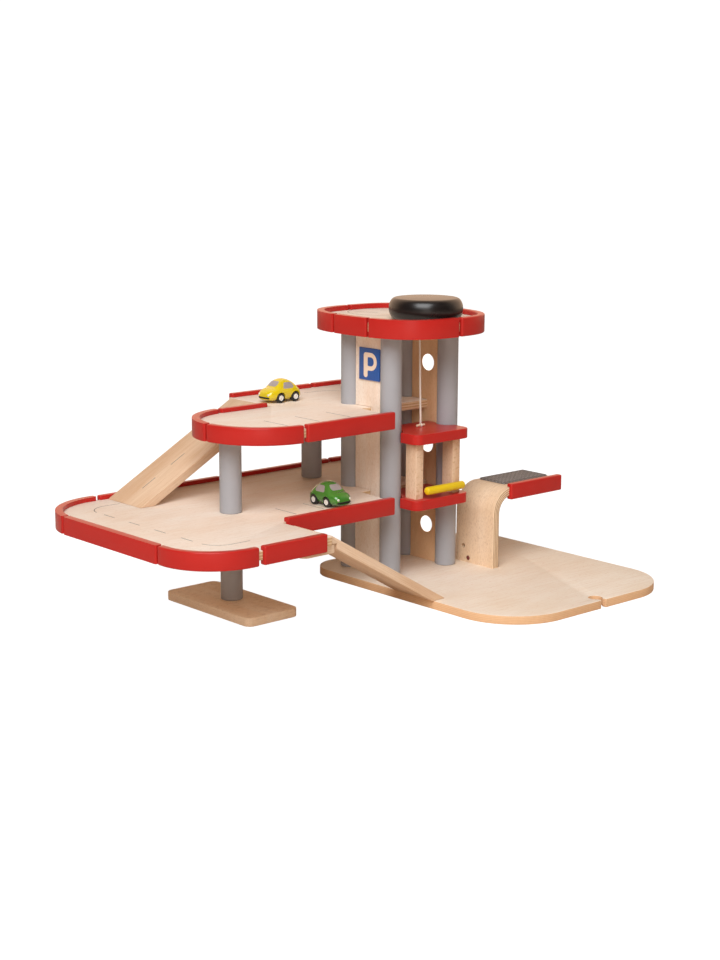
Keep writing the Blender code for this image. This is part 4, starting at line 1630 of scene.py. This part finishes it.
@dataclass
class Lift:
    """The lift car with its barrier and string toggle; floor and roof are each board's bottom and top.

    The scoop is the radius that clears the tower's front posts. Bar ends are measured from the pin.
    """

    floor: tuple[float, float] = (94.5, 106.5)
    roof: tuple[float, float] = (172.5, 184.5)
    front_x: float = 44.0
    back_x: float = 40.3
    front_y: float = -77.75
    back_y: float = -7.25
    front_corner: float = 10.5
    back_corner: float = 1.5
    scoop: float = 14.2
    edge: float = 3.4
    hole: float = 1.6
    through: float = 5.0
    post_x: float = 30.0
    post_half: float = 6.0
    post_corner: float = 0.8
    post_seam: float = 0.02
    post_y: tuple[float, float] = (-67.75, -49.75)
    pin_y: tuple[float, float] = (-75.9, -58.75)
    pin_radius: float = 1.5
    bar: Place = (30.0, -73.2, 116.0)
    bar_ends: tuple[float, float] = (-55.3, 7.4)
    bar_radius: float = 4.8
    bar_nose: float = 3.0
    toggle_half: float = 6.5
    toggle_radius: float = 1.5

    def build(self) -> None:
        """Makes the lift's pieces."""
        outline = self.outline()
        floor = Shape.flat([outline], *self.floor).soft(self.edge, segments=6)
        floor.piece("lift_floor", RED, Slot.RED, Body.LIFT)
        roof = Shape.flat([outline], *self.roof).soft(self.edge, segments=6)
        hole = circle(PLAN.string_foot_x, PLAN.string_y, self.hole, steps=24)
        roof.cut(Shape.flat([hole], self.roof[0] - self.through, self.roof[1] + self.through))
        roof.piece("lift_roof", RED, Slot.RED, Body.LIFT)
        for label, x in (("left", -self.post_x), ("right", self.post_x)):
            self.post(f"lift_post_{label}", x)
        near, far = self.pin_y
        pin = ((0, -far), (self.pin_radius, -far), (self.pin_radius, -near), (0, -near))
        head = Shape.turned(pin, 24).rotated(90, Axis.X).moved((self.bar[0], 0, self.bar[2]))
        head.piece("gate_pin", STEEL, Slot.STEEL, Body.LIFT)
        self.barrier()
        self.toggle()

    def outline(self) -> list[Point]:
        """Draws the lift's floor and roof, which are scooped out round the tower's posts.

        Returns:
            Their outline.
        """
        steps = 25
        post_x, post_y = PLAN.post_x, -PLAN.post_y
        before = math.sqrt(self.scoop**2 - (post_x - self.front_x) ** 2)
        after = math.sqrt(self.scoop**2 - (post_x - self.back_x) ** 2)
        front = fillet(
            (
                (-self.front_x, post_y - before, 0.0),
                (-self.front_x, self.front_y, self.front_corner),
                (self.front_x, self.front_y, self.front_corner),
                (self.front_x, post_y - before, 0.0),
            ),
            8.0,
        )
        first = math.atan2(-before, self.front_x - post_x)
        last = math.atan2(after, self.back_x - post_x)
        sweep = (last - first) % math.tau - math.tau
        right = []
        for k in range(1, steps):
            angle = first + sweep * k / steps
            right.append((post_x + self.scoop * math.cos(angle), post_y + self.scoop * math.sin(angle)))
        right += [
            (self.back_x, post_y + after),
            (self.back_x, self.back_y - self.back_corner),
            (self.back_x - self.back_corner, self.back_y),
        ]
        return [*front, *right, *((-x, y) for x, y in reversed(right))]

    def post(self, name: str, x: float) -> None:
        """Makes one of the square posts between the floor and the roof.

        Args:
            name: the post's name.
            x: its middle.
        """
        low, high = (x - self.post_half, self.post_y[0]), (x + self.post_half, self.post_y[1])
        outline = rounded(low, high, self.post_corner, step=30.0)
        post = Shape.flat([outline], self.floor[1] + self.post_seam, self.roof[0] - self.post_seam)
        post.piece(name, BIRCH_UP_SHADED, Slot.BIRCH, Body.LIFT)

    def barrier(self) -> None:
        """Makes the yellow bar that turns on its pin."""
        left, right = self.bar_ends
        quarter = [math.radians(a) for a in range(0, 91, 15)]
        wide = [self.bar_radius * math.sin(a) for a in quarter]
        deep = [self.bar_nose * (1 - math.cos(a)) for a in quarter]
        profile = [(radius, left + depth) for radius, depth in zip(wide, deep)]
        profile += [(radius, right - depth) for radius, depth in zip(reversed(wide), reversed(deep))]
        bar = Shape.turned(profile, 32).rotated(90, Axis.Y).moved(self.bar)
        bar.piece("gate_bar", YELLOW, Slot.YELLOW, Body.GATE)

    def toggle(self) -> None:
        """Makes the wooden peg that the string is tied to."""
        half, radius, chamfer = self.toggle_half, self.toggle_radius, 0.4
        profile = (
            (0, -half),
            (radius - chamfer, -half),
            (radius, chamfer - half),
            (radius, half - chamfer),
            (radius - chamfer, half),
            (0, half),
        )
        peg = Shape.turned(profile, 24).rotated(90, Axis.Y)
        peg.moved((PLAN.string_foot_x, PLAN.string_y, PLAN.toggle_height))
        peg.piece("string_toggle", BIRCH, Slot.BIRCH, Body.LIFT)


@dataclass
class Winder:
    """The knob on the roof, its spool and axle, and the lift's string.

    The hollow is the radius of the room inside the knob, and the ceiling that room's height.
    """

    bottom: float = 314.0
    height: float = 25.0
    radius: float = 43.5
    rim_bulge: float = 0.62
    flat_radius: float = 20.0
    hollow: float = 30.0
    ceiling: float = 14.5
    drum: float = 9.0
    flange: float = 14.0
    bore: float = 3.3
    axle: float = 3.0
    axle_head: float = 2.3
    axle_end: float = 326.0
    turns: int = 4
    turn_radius: float = 10.05
    turn_rise: float = 2.05
    turn_top: float = 323.8
    turn_string: float = 0.95
    string_top: float = 321.4
    string_low: float = 188.9
    string_radius: float = 1.15
    bend_top: float = 318.0
    bend_low: float = 200.0
    knot_string: float = 0.5

    def build(self) -> None:
        """Makes the winder's pieces."""
        self.knob()
        self.spool()
        self.pin()
        self.wound_string()
        self.hanging_string()
        self.knot()

    def turned(self, profile: Sequence[Point], steps: int) -> Shape:
        """Turns a profile of radius and height round the winder's axis."""
        return Shape.turned(profile, steps).moved((0, PLAN.winder_y, 0))

    def knob(self) -> None:
        """Makes the round knob with its hollow underside."""
        steps, chamfer = 20, 0.6
        half = self.height / 2
        bulge = half * self.rim_bulge
        rim = []
        for k in range(steps + 1):
            angle = math.radians(-90 + 180 * k / steps)
            out = self.radius - bulge + bulge * math.cos(angle)
            rim.append((out, self.bottom + half + half * math.sin(angle)))
        ceiling = self.bottom + self.ceiling
        profile = [
            (0, ceiling),
            (self.hollow, ceiling),
            (self.hollow, self.bottom + chamfer),
            (self.hollow + chamfer, self.bottom),
            *rim,
            (self.flat_radius, self.bottom + self.height),
            (0, self.bottom + self.height),
        ]
        self.turned(profile, 96).piece("winder_knob", DARK, Slot.DARK, Body.WINDER)

    def spool(self) -> None:
        """Makes the spool in the knob's hollow."""
        gap, root, rim = 0.6, 2.9, 2.1
        low, high = self.bottom + gap, self.bottom + self.ceiling - PLAN.seam
        profile = (
            (self.bore, low),
            (self.drum, low),
            (self.drum, high - root),
            (self.flange, high - rim),
            (self.flange, high),
            (self.bore, high),
            (self.bore, low),
        )
        self.turned(profile, 48).piece("winder_spool", DARK, Slot.DARK, Body.WINDER)

    def pin(self) -> None:
        """Makes the axle, with its head under the roof."""
        head, chamfer, end = 2 * self.axle, 0.6, self.axle_end
        low, shoulder = PLAN.roof_bottom - self.axle_head, PLAN.roof_bottom - PLAN.seam
        profile = (
            (0, low),
            (head - chamfer, low),
            (head, low + chamfer),
            (head, shoulder),
            (self.axle, shoulder),
            (self.axle, end - 1.0),
            (self.axle - 0.8, end),
            (0, end),
        )
        self.turned(profile, 32).piece("knob_axle", STEEL, Slot.STEEL)

    def wound_string(self) -> None:
        """Makes the string's turns on the spool."""
        steps = 16
        coil = []
        for k in range(self.turns * steps + 1):
            angle = math.pi / 2 + math.tau * k / steps
            x = self.turn_radius * math.cos(angle)
            y = PLAN.winder_y + self.turn_radius * math.sin(angle)
            coil.append((x, y, self.turn_top - self.turn_rise * k / steps))
        wound = Shape.tube(coil, self.turn_string, smooth=False)
        wound.piece("string_turns", STRING, Slot.STRING, Body.WINDER, in_cad=False)

    def hanging_string(self) -> None:
        """Makes the string from the spool to the lift, at one length; on the toy it grows and shrinks as
        the lift moves.
        """
        steps = 60
        y, fall = PLAN.string_y, self.string_top - self.string_low
        points = [
            (PLAN.string_foot_x * k / steps, y, self.string_top - fall * k / steps)
            for k in range(steps + 1)
        ]
        line = Shape.tube(points, self.string_radius, smooth=False)
        obj = line.piece("lift_string", STRING, Slot.STRING, None)
        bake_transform(obj)

    def knot(self) -> None:
        """Makes the two loops round the toggle."""
        steps, loops = 32, 2
        half_wide, half_deep, half_high = 0.9, 2.1, 2.0
        path = []
        for k in range(steps + 1):
            angle = math.tau * loops * k / steps
            x = PLAN.string_foot_x - half_wide + 2 * half_wide * k / steps
            y = PLAN.string_y + half_deep * math.sin(angle)
            path.append((x, y, PLAN.toggle_height + half_high * math.cos(angle)))
        tie = Shape.tube(path, self.knot_string)
        tie.piece("string_knot", STRING, Slot.STRING, Body.LIFT, in_cad=False)


@dataclass
class Stand:
    """The bent plywood stand with rail, mesh pad and screw plug; bores are y and z of the leg's two."""

    end: float = 188.15
    front: float = -91.75
    back: float = -28.75
    foot: float = 6.5
    edge: float = 0.6
    bores: tuple[Point, Point] = ((-49.85, 15.6), (-41.55, 29.8))
    bore_radius: float = 3.0
    bore_depth: float = 7.0
    rail_x: tuple[float, float] = (96.9, 187.9)
    rail_z: tuple[float, float] = (92.2, 111.4)
    groove_x: tuple[float, float] = (60.0, 220.0)
    groove_z: tuple[float, float] = (95.9, 107.7)
    pad_low: Point = (104.7, -75.75)
    pad_high: Point = (182.9, -33.75)
    pad_corner: float = 2.0
    pad_thickness: float = 2.0
    hem_inset: float = 1.2
    hem_radius: float = 0.6

    def build(self) -> None:
        """Makes the stand's pieces."""
        self.board()
        self.plug()
        self.rail()
        self.pad()

    def board(self) -> None:
        """Makes the bent board with two bores in its leg."""
        left, top, bend = PLAN.stand_left, PLAN.stand_top, PLAN.stand_bend
        right, under = left + PLAN.board, top - PLAN.board
        side = (
            (left, self.foot, 0.0),
            (right, self.foot, 0.0),
            (right, under, bend - PLAN.board),
            (self.end, under, 0.0),
            (self.end, top, 0.0),
            (left, top, bend),
        )
        bent = Shape.flat([fillet(side)], 0, 1).standing(Axis.Y, self.front, self.back)
        bent.soft(self.edge)
        radius, depth, outside = self.bore_radius, self.bore_depth, -5
        profile = ((0, outside), (radius, outside), (radius, depth), (0, depth))
        for y, z in self.bores:
            bent.cut(Shape.turned(profile, 32).rotated(90, Axis.Y).moved((left, y, z)))
        bent.piece("bent_stand", BENT, Slot.PLYWOOD)

    def plug(self) -> None:
        """Makes the plug in the lower bore, which stands a little proud."""
        proud, radius, face, depth = -0.6, self.bore_radius - 0.3, 2.0, self.bore_depth - 0.4
        profile = ((0, proud), (face, proud), (radius, 0), (radius, depth), (0, depth))
        plug = Shape.turned(profile, 32).rotated(90, Axis.Y).moved((PLAN.stand_left, *self.bores[0]))
        plug.piece("stand_screw", PLUG, Slot.BEECH)

    def rail(self) -> None:
        """Makes the red rail over the front edge."""
        low = (self.rail_x[0], self.front - PLAN.rail_out)
        high = (self.rail_x[1], self.front + PLAN.rail_in)
        strip = Shape.flat([rounded(low, high, PLAN.rail_corner, step=18.0)], *self.rail_z)
        strip.soft(PLAN.rail_edge, segments=4, angle=50.0)
        groove = rectangle((self.groove_x[0], self.front - PLAN.seam), (self.groove_x[1], self.back))
        strip.cut(Shape.flat([groove], *self.groove_z))
        strip.piece("stand_rail", RED, Slot.RED)

    def pad(self) -> None:
        """Makes the mesh pad and the hem round it."""
        bottom = PLAN.stand_top + PLAN.seam
        outline = rounded(self.pad_low, self.pad_high, self.pad_corner, step=18.0)
        mesh = Shape.flat([outline], bottom, bottom + self.pad_thickness).soft(self.edge)
        mesh.piece("stand_pad", PAD_MESH, Slot.MESH)
        path = rounded(self.pad_low, self.pad_high, self.pad_corner, step=30.0)
        path = shifted(path, -self.hem_inset)
        height = bottom + self.pad_thickness - self.hem_radius / 2
        hem = [(x, y, height) for x, y in path]
        rim = Shape.tube([*hem, hem[0]], self.hem_radius, smooth=False)
        rim.piece("stand_pad_hem", PAD_HEM, Slot.MESH, in_cad=False)


@dataclass
class Markings:
    """Thin printed lines on the decks and the roof: their width, their ink and how far it is lifted."""

    width: float = 0.9
    ink: float = 0.05
    lift: float = 0.02
    ring: Corner = (14.0, 51.0, 39.0)
    bar: Sequence[Point] = ((-9.0, 71.0), (-4.0, 64.0), (1.0, 56.0), (5.0, 44.0))
    bar_side: Sequence[Point] = ((26.0, 64.0), (34.0, 58.0))
    dash: float = 20.5
    dash_period: float = 48.2
    dash_first: float = 91.0

    def build(self) -> None:
        """Makes each group of lines."""
        lower, mid = (bottom + PLAN.board for bottom in PLAN.decks)
        self.lines("lower_lane_lines", self.lower(), lower, PRINT)
        self.lines("mid_lane_lines", self.mid(), mid, PRINT)
        ring = circle(*self.ring, steps=96)
        roof = PLAN.roof_bottom + PLAN.board
        self.lines("roof_rings", [[*ring, ring[0]], self.bar, self.bar_side], roof, PRINT_FAINT)

    def lower(self) -> list[Sequence[Point]]:
        """Draws the dashed lane of the lower deck with its bends, and the bays.

        Returns:
            The lines.
        """
        x, front, back, bend, right = -363.2, -111.0, 128.0, 24.0, -100.0
        lane = fillet(((x, front, bend), (right, front, 0.0), (right, back, 0.0), (x, back, bend)))
        bends = [along(lane, (x, -90.0), (-316.0, front)), along(lane, (-318.0, back), (x, 106.0))]
        starts = [self.dash_first - self.dash_period * k for k in range(4)]
        dashes = [[(x, start), (x, start - self.dash)] for start in starts]
        bays = [[(place, -9.5), (place, -46.5)] for place in (-199.5, -159.0, -118.5)]
        return [*bends, *dashes, *bays]

    def mid(self) -> list[Sequence[Point]]:
        """Draws the bays of the middle deck and the bend behind the tower.

        Returns:
            The lines.
        """
        bays = [[(place, 2.0), (place, -40.5)] for place in (-206.5, -161.0, -114.5)]
        x, front, back, bend, left = 8.0, 60.0, 130.0, 30.0, -60.0
        lane = fillet(((left, front, 0.0), (x, front, bend), (x, back, bend), (left, back, 0.0)))
        return [*bays, along(lane, (x, 95.0), (-40.0, back))]

    def ribbon(self, path: Sequence[Point]) -> Shape:
        """Makes one thin line as a flat strip.

        Args:
            path: the line.

        Returns:
            The strip.
        """
        left = shifted(path, self.width / 2, closed=False)
        right = shifted(path, -self.width / 2, closed=False)
        return Shape.flat([[*left, *reversed(right)]], 0, self.ink)

    def lines(self, name: str, paths: Iterable[Sequence[Point]], height: float, finish: Finish) -> None:
        """Prints a group of lines on a level surface.

        Args:
            name: the group's name.
            paths: the lines.
            height: height of the surface.
            finish: the ink.
        """
        strips = [self.ribbon(path) for path in paths]
        group = strips[0].joined(*strips[1:]).moved((0, 0, height + self.lift))
        group.piece(name, finish, Slot.PLYWOOD, in_cad=False)


@dataclass
class Car:
    """A small generic car with two wheelsets; in its own frame the front is at -x and the floor at 0.

    Base is the distance between the axles. The roof line is x and height along the middle.
    """

    name: str
    spot: Place
    heading: float
    finish: Finish
    slot: Slot
    nose: float = -28.5
    tail: float = 22.5
    half_width: float = 13.6
    wheel: float = 5.9
    base: float = 22.5
    axle_inner: float = 7.2
    axle_radius: float = 1.5
    wheel_inner: float = 7.7
    roof_line: Sequence[Point] = (
        (-28.5, 7.6),
        (-28.0, 11.0),
        (-26.0, 14.2),
        (-22.0, 16.8),
        (-16.6, 18.4),
        (-13.4, 22.2),
        (-9.6, 25.4),
        (-4.0, 27.2),
        (1.5, 27.2),
        (8.0, 25.0),
        (14.0, 21.0),
        (18.6, 16.0),
        (21.6, 10.8),
        (22.5, 7.6),
    )
    side_window: Sequence[Corner] = (
        (-7.6, 16.6, 1.4),
        (12.0, 16.6, 2.8),
        (6.4, 23.4, 3.4),
        (-4.2, 23.4, 2.8),
    )
    windscreen: Sequence[Corner] = (
        (-8.6, 19.2, 2.2),
        (8.6, 19.2, 2.2),
        (6.4, 25.0, 2.8),
        (-6.4, 25.0, 2.8),
    )
    glass_proud: float = 0.12
    bumper: tuple[Point, Point] = ((-9.8, 5.6), (9.8, 7.4))
    bumper_corner: float = 0.8
    bumper_proud: float = 0.25
    lamp: Place = (-27.3, 8.4, 10.0)

    def build(self) -> None:
        """Makes the car's body, wheels, windows, bumper and lamps."""
        body = self.hull()
        arch, wide = self.wheel + 0.8, 20.0
        half_well = (
            (0, -wide),
            (arch, -wide),
            (arch, -self.axle_inner),
            (self.axle_radius, -self.axle_inner),
        )
        well = (*half_well, *((radius, -height) for radius, height in reversed(half_well)))
        for offset in (-self.base / 2, self.base / 2):
            body.cut(Shape.turned(well, 40).rotated(90, Axis.X).moved((offset, 0, self.wheel)))
        self.piece(body, "body", self.finish, in_cad=True, smooth=50.0)
        self.wheels()
        self.trim()

    def placed(self, shape: Shape) -> Shape:
        """Turns a shape to the car's heading and moves it to its spot."""
        return shape.rotated(self.heading, Axis.Z).moved(self.spot)

    def piece(
        self, shape: Shape, label: str, finish: Finish, in_cad: bool = False, smooth: float = 35.0
    ) -> None:
        """Puts a shape in its place as a piece of the car's body.

        Args:
            shape: the shape, in the car's own frame.
            label: the end of the piece's name.
            finish: its finish.
            in_cad: whether it stands for the CAD node of the same name.
            smooth: edges flatter than this many degrees are shaded round.
        """
        body = Body(f"{self.name}_car")
        self.placed(shape).piece(f"{self.name}_{label}", finish, self.slot, body, in_cad, smooth)

    def hull(self) -> Shape:
        """Draws the car's body through cross-sections.

        Returns:
            The rounded hull, closed at both ends.
        """
        stations, around = 61, 48
        middle, half = (self.nose + self.tail) / 2, (self.tail - self.nose) / 2
        verts = []
        for i in range(stations):
            share = math.cos(math.pi * i / (stations - 1))
            fullness = max(0.0, 1 - abs(share) ** 4.5) ** 0.5
            verts += self.section(middle - half * share, fullness, around)
        faces = []
        for i in range(stations - 1):
            for k in range(around):
                a = i * around + k
                b = i * around + (k + 1) % around
                faces.append((a, b, b + around, a + around))
        faces.append(tuple(reversed(range(around))))
        faces.append(tuple((stations - 1) * around + k for k in range(around)))
        mesh = bpy.data.meshes.new("hull")
        mesh.from_pydata(verts, [], faces)
        with opened(mesh) as shell:
            bmesh.ops.recalc_face_normals(shell, faces=shell.faces)
        return Shape(mesh)

    def section(self, x: float, fullness: float, around: int) -> list[Place]:
        """Returns one cross-section of the hull.

        Args:
            x: its place along the car.
            fullness: 0 at the car's ends and 1 in its middle.
            around: the number of points.

        Returns:
            The points, in metres.
        """
        belt, taper = 14.0, 0.026
        width = self.half_width * (0.48 + 0.52 * fullness)
        low = 2.2 + 2.4 * (1 - fullness)
        top = self.height(x)
        points = []
        for k in range(around):
            angle = math.tau * k / around
            c, s = math.cos(angle), math.sin(angle)
            y = math.copysign(abs(c) ** 0.62, c) * width
            z = low + (top - low) * (math.copysign(abs(s) ** 0.75, s) + 1) / 2
            if z > belt:
                y *= 1 - taper * (z - belt)
            points.append((x * MM, y * MM, z * MM))
        return points

    def height(self, x: float) -> float:
        """Returns the height of the roof line, a smooth curve through its points.

        Args:
            x: the place along the car.

        Returns:
            The height.
        """
        keys = self.roof_line
        last = len(keys) - 2
        index = next((k for k in range(last) if x <= keys[k + 1][0]), last)
        (x0, z0), (x1, z1) = keys[index], keys[index + 1]
        before, after = keys[max(0, index - 1)], keys[min(len(keys) - 1, index + 2)]
        start = (z1 - before[1]) / (x1 - before[0])
        end = (after[1] - z0) / (after[0] - x0)
        span = x1 - x0
        t = (x - x0) / span
        return (
            z0 * (2 * t**3 - 3 * t**2 + 1)
            + start * span * (t**3 - 2 * t**2 + t)
            + z1 * (3 * t**2 - 2 * t**3)
            + end * span * (t**3 - t**2)
        )

    def wheels(self) -> None:
        """Makes the two wheelsets."""
        face = self.half_width - 0.2
        profile = (
            (0, 0.3 - face),
            (2.0, 0.3 - face),
            (2.8, 0.8 - face),
            (3.3, 0.2 - face),
            (self.wheel - 0.9, -face),
            (self.wheel - 0.2, 0.5 - face),
            (self.wheel, 1.2 - face),
            (self.wheel, -self.wheel_inner - 0.7),
            (self.wheel - 0.6, -self.wheel_inner),
            (1.0, -self.wheel_inner),
        )
        mirrored = [(radius, -height) for radius, height in reversed(profile)]
        for label, offset in (("front", -self.base / 2), ("rear", self.base / 2)):
            pair = Shape.turned((*profile, *mirrored), 40).rotated(90, Axis.X)
            pair.moved((offset, 0, self.wheel))
            body = Body(f"{self.name}_{label}")
            obj = self.placed(pair).piece(f"{self.name}_wheels_{label}", TYRE, Slot.TYRE, body)
            self.paint_hubs(obj, offset)

    def paint_hubs(self, obj: bpy.types.Object, offset: float) -> None:
        """Gives the middle of each wheel the hub finish.

        Args:
            obj: the wheelset.
            offset: its place along the car.
        """
        hub_radius, hub_depth = 3.1, 1.5
        turn = Matrix.Rotation(math.radians(self.heading), 3, "Z")
        middle = (turn @ Vector((offset, 0, self.wheel)) + Vector(self.spot)) * MM
        axle = turn @ Vector((0, 1, 0))
        obj.data.materials.append(HUB.material())
        for face in obj.data.polygons:
            arm = face.center - middle
            out = arm.dot(axle)
            radius = (arm - axle * out).length
            if abs(out) > (self.half_width - hub_depth) * MM and radius < hub_radius * MM:
                face.material_index = 1

    def trim(self) -> None:
        """Makes the windows, bumper line and lamps as thin inlays on the body."""
        # Each drawing stands up as a prism that passes through one side of the hull only.
        side = fillet(self.side_window, step=20.0)
        halves = ((-20.0, 0.0), (0.0, 20.0))
        panes = [Shape.flat([side], 0, 1).standing(Axis.Y, *half) for half in halves]
        front = fillet(self.windscreen, step=20.0)
        panes.append(Shape.flat([front], 0, 1).standing(Axis.X, -20.0, -5.5))
        self.piece(self.inlay(panes, self.glass_proud), "windows", GLASS)
        line = rounded(*self.bumper, self.bumper_corner, step=30.0)
        strip = Shape.flat([line], 0, 1).standing(Axis.X, -40.0, -18.0)
        self.piece(self.inlay([strip], self.bumper_proud), "bumper", TYRE)
        x, y, z = self.lamp
        dome = ((0, -1.5), (1.5, -1.5), (1.5, 0.3), (1.1, 0.8), (0, 1.0))
        lamps = [Shape.turned(dome, 24).rotated(-90, Axis.Y).moved((x, side, z)) for side in (-y, y)]
        self.piece(lamps[0].joined(lamps[1]), "lamps", LAMP)

    def inlay(self, outlines: Sequence[Shape], thickness: float) -> Shape:
        """Returns the skin of the hull where it passes through any of the outlines.

        Args:
            outlines: prisms that stand through it.
            thickness: how far the skin stands proud of the body.

        Returns:
            The skins, joined.
        """
        skins = [self.hull().common(outline).swollen(thickness) for outline in outlines]
        return skins[0].joined(*skins[1:])


@dataclass
class Studio:
    """Camera, floor, backdrop and soft lights.

    Focal is in pixels of the picture's longer side, the angles are in radians and the eye in millimetres.
    Lamps are a name, a place in metres, a size, a power and a colour.
    """

    focal: float = 1731.4
    picture: float = 960.0
    sensor: float = 36.0
    pitch: float = 0.2033
    yaw: float = 0.7300
    roll: float = 0.004036
    eye: Place = (-1403.62, -1497.98, 537.70)
    floor_half: float = 6.0
    floor_colour: Colour = (0.74, 0.63, 0.53)
    sky_colour: Colour = (1.0, 0.68, 0.47)
    aim: Place = (-0.1, -0.05, 0.15)
    lamps: Sequence[tuple[str, Place, float, float, Colour]] = (
        ("key", (-2.85, -2.15, 3.4), 3.4, 248.0, (0.98, 0.99, 1.0)),
        ("front", (-1.5, -1.7, 0.5), 1.0, 3.5, (1.0, 0.93, 0.86)),
        ("fill", (1.7, -1.3, 1.2), 1.6, 2.0, (1.0, 0.9, 0.8)),
        ("top", (0.1, 0.2, 2.2), 1.8, 3.0, (1.0, 0.85, 0.7)),
    )

    def build(self) -> None:
        """Makes the studio."""
        self.camera()
        self.floor()
        self.world()
        for lamp in self.lamps:
            self.lamp(*lamp)
        bpy.context.scene.view_settings.view_transform = "Standard"
        bpy.context.scene.view_settings.look = "None"

    def camera(self) -> None:
        """Places the camera at the photograph's viewing angle."""
        data = bpy.data.cameras.new("camera")
        data.sensor_width = self.sensor
        data.lens = self.focal * self.sensor / self.picture
        data.clip_end = 20.0
        level = Vector((math.sin(self.yaw), math.cos(self.yaw), 0))
        forward = level * math.cos(self.pitch) - Vector((0, 0, math.sin(self.pitch)))
        right = Vector((math.cos(self.yaw), -math.sin(self.yaw), 0))
        up = right.cross(forward)
        c, s = math.cos(self.roll), math.sin(self.roll)
        matrix = Matrix((right * c + up * s, up * c - right * s, -forward)).transposed().to_4x4()
        matrix.translation = Vector(self.eye) * MM
        camera = bpy.data.objects.new("camera", data)
        camera.matrix_world = matrix
        bpy.context.scene.collection.objects.link(camera)
        bpy.context.scene.camera = camera

    def floor(self) -> None:
        """Makes the pale floor, which the camera sees as bright as the backdrop."""
        half = self.floor_half
        mesh = bpy.data.meshes.new("floor")
        corners = [(x, y, 0) for x, y in rectangle((-half, -half), (half, half))]
        mesh.from_pydata(corners, [], [(0, 1, 2, 3)])
        floor = bpy.data.objects.new("floor", mesh)
        floor.location.z = -0.0002
        bpy.context.scene.collection.objects.link(floor)
        material = bpy.data.materials.new("floor")
        material.use_nodes = True
        graph = Graph(material.node_tree)
        pale = graph.shader(
            {"Base Color": self.floor_colour, "Roughness": 0.9, "Specular IOR Level": 0.1}
        )
        lit = graph.shader(
            {
                "Base Color": (0.2, 0.2, 0.2),
                "Roughness": 1.0,
                "Specular IOR Level": 0.0,
                "Emission Color": (1.0, 1.0, 1.0),
                "Emission Strength": 1.0,
            }
        )
        seen = graph.add("ShaderNodeLightPath")["Is Camera Ray"]
        graph.end(graph.add("ShaderNodeMixShader", None, {0: seen, 1: pale, 2: lit})[0])
        mesh.materials.append(material)

    def world(self) -> None:
        """Lights the scene softly from all round, in front of a white backdrop."""
        world = bpy.data.worlds.new("studio")
        world.use_nodes = True
        bpy.context.scene.world = world
        graph = Graph(world.node_tree)
        rays = graph.add("ShaderNodeLightPath")
        seen = rays["Is Camera Ray"].most(rays["Is Transmission Ray"])
        way = graph.parts(graph.add("ShaderNodeTexCoord")["Generated"])
        # The two factors are the camera's direction over the floor, so this is the side behind the garage.
        behind = (way[0] * 0.67 + way[1] * 0.74).soft_step(-0.1, 0.5)
        mirrored = 0.04 + 1.3 * behind
        shiny = rays["Is Glossy Ray"]
        ambient = 0.07 + 0.33 * (1.0 - way[2].soft_step(0.05, 0.6))
        strength = seen * 1.1 + (1.0 - seen) * (shiny * mirrored + (1.0 - shiny) * ambient)
        tint = graph.mix(seen, self.sky_colour, (1.0, 1.0, 1.0))
        backdrop = graph.add("ShaderNodeBackground", None, {"Color": tint, "Strength": strength})
        graph.add("ShaderNodeOutputWorld", None, {"Surface": backdrop[0]})

    def lamp(self, name: str, spot: Place, size: float, power: float, colour: Colour) -> None:
        """Adds a soft square light aimed at the middle of the garage.

        Args:
            name: the lamp's name.
            spot: its place, in metres.
            size: its width, in metres.
            power: its power, in watts.
            colour: its colour.
        """
        data = bpy.data.lights.new(name, "AREA")
        data.shape = "SQUARE"
        data.size = size
        data.energy = power
        data.color = colour
        light = bpy.data.objects.new(name, data)
        light.location = spot
        way = Vector(self.aim) - Vector(spot)
        light.rotation_euler = way.to_track_quat("-Z", "Y").to_euler()
        bpy.context.scene.collection.objects.link(light)


class Part(Protocol):
    """Anything that can be built."""

    def build(self) -> None:
        """Makes the part's pieces."""


RAMP_RIGHT = Ramp(
    "lower",
    Body.LOWER_RAMP,
    edge=-238.15,
    top=PLAN.decks[0] + PLAN.board,
    side=(-149.3, -86.8),
    towards=1,
    finish=replace(BIRCH, name="birch_ramp_right"),
    ledge_inset=0.8,
)
RAMP_LEFT = Ramp(
    "upper",
    Body.UPPER_RAMP,
    edge=-134.15,
    top=PLAN.decks[1] + PLAN.board,
    side=(90.5, 155.6),
    towards=-1,
    # The upper ramp's birch is a darker copy of the birch: painted shade on its face.
    finish=replace(BIRCH, name="birch_ramp_left", light=srgb("E8CCB0"), dark=srgb("D2AA86")),
    run=180.5,
    dashes=((58.0, 80.0), (107.0, 129.5), (155.0, 176.0)),
)
GREEN_CAR = Car("green", (-139.85, -31.75, 110.3), 90.0, CAR_GREEN, Slot.GREEN_PAINT)
YELLOW_CAR = Car("yellow", (-101.3, 99.2, 210.3), 0.0, CAR_YELLOW, Slot.YELLOW_PAINT)


@dataclass
class Garage:
    """The whole toy, as its parts in the order in which they are built."""

    parts: Sequence[Part] = field(
        default_factory=lambda: (
            Ground(),
            LOWER,
            MID,
            TOP,
            Tower(),
            Sign(),
            RAMP_RIGHT,
            RAMP_LEFT,
            Lift(),
            Winder(),
            Stand(),
            Markings(),
            GREEN_CAR,
            YELLOW_CAR,
        )
    )

    def build(self) -> None:
        """Makes every part in turn."""
        for part in self.parts:
            LOG.info("building %s", type(part).__name__)
            part.build()


def main() -> None:
    """Builds the garage and the studio."""
    logging.basicConfig(level=logging.INFO, format="%(message)s")
    Garage().build()
    Studio().build()


if __name__ == "__main__":
    main()
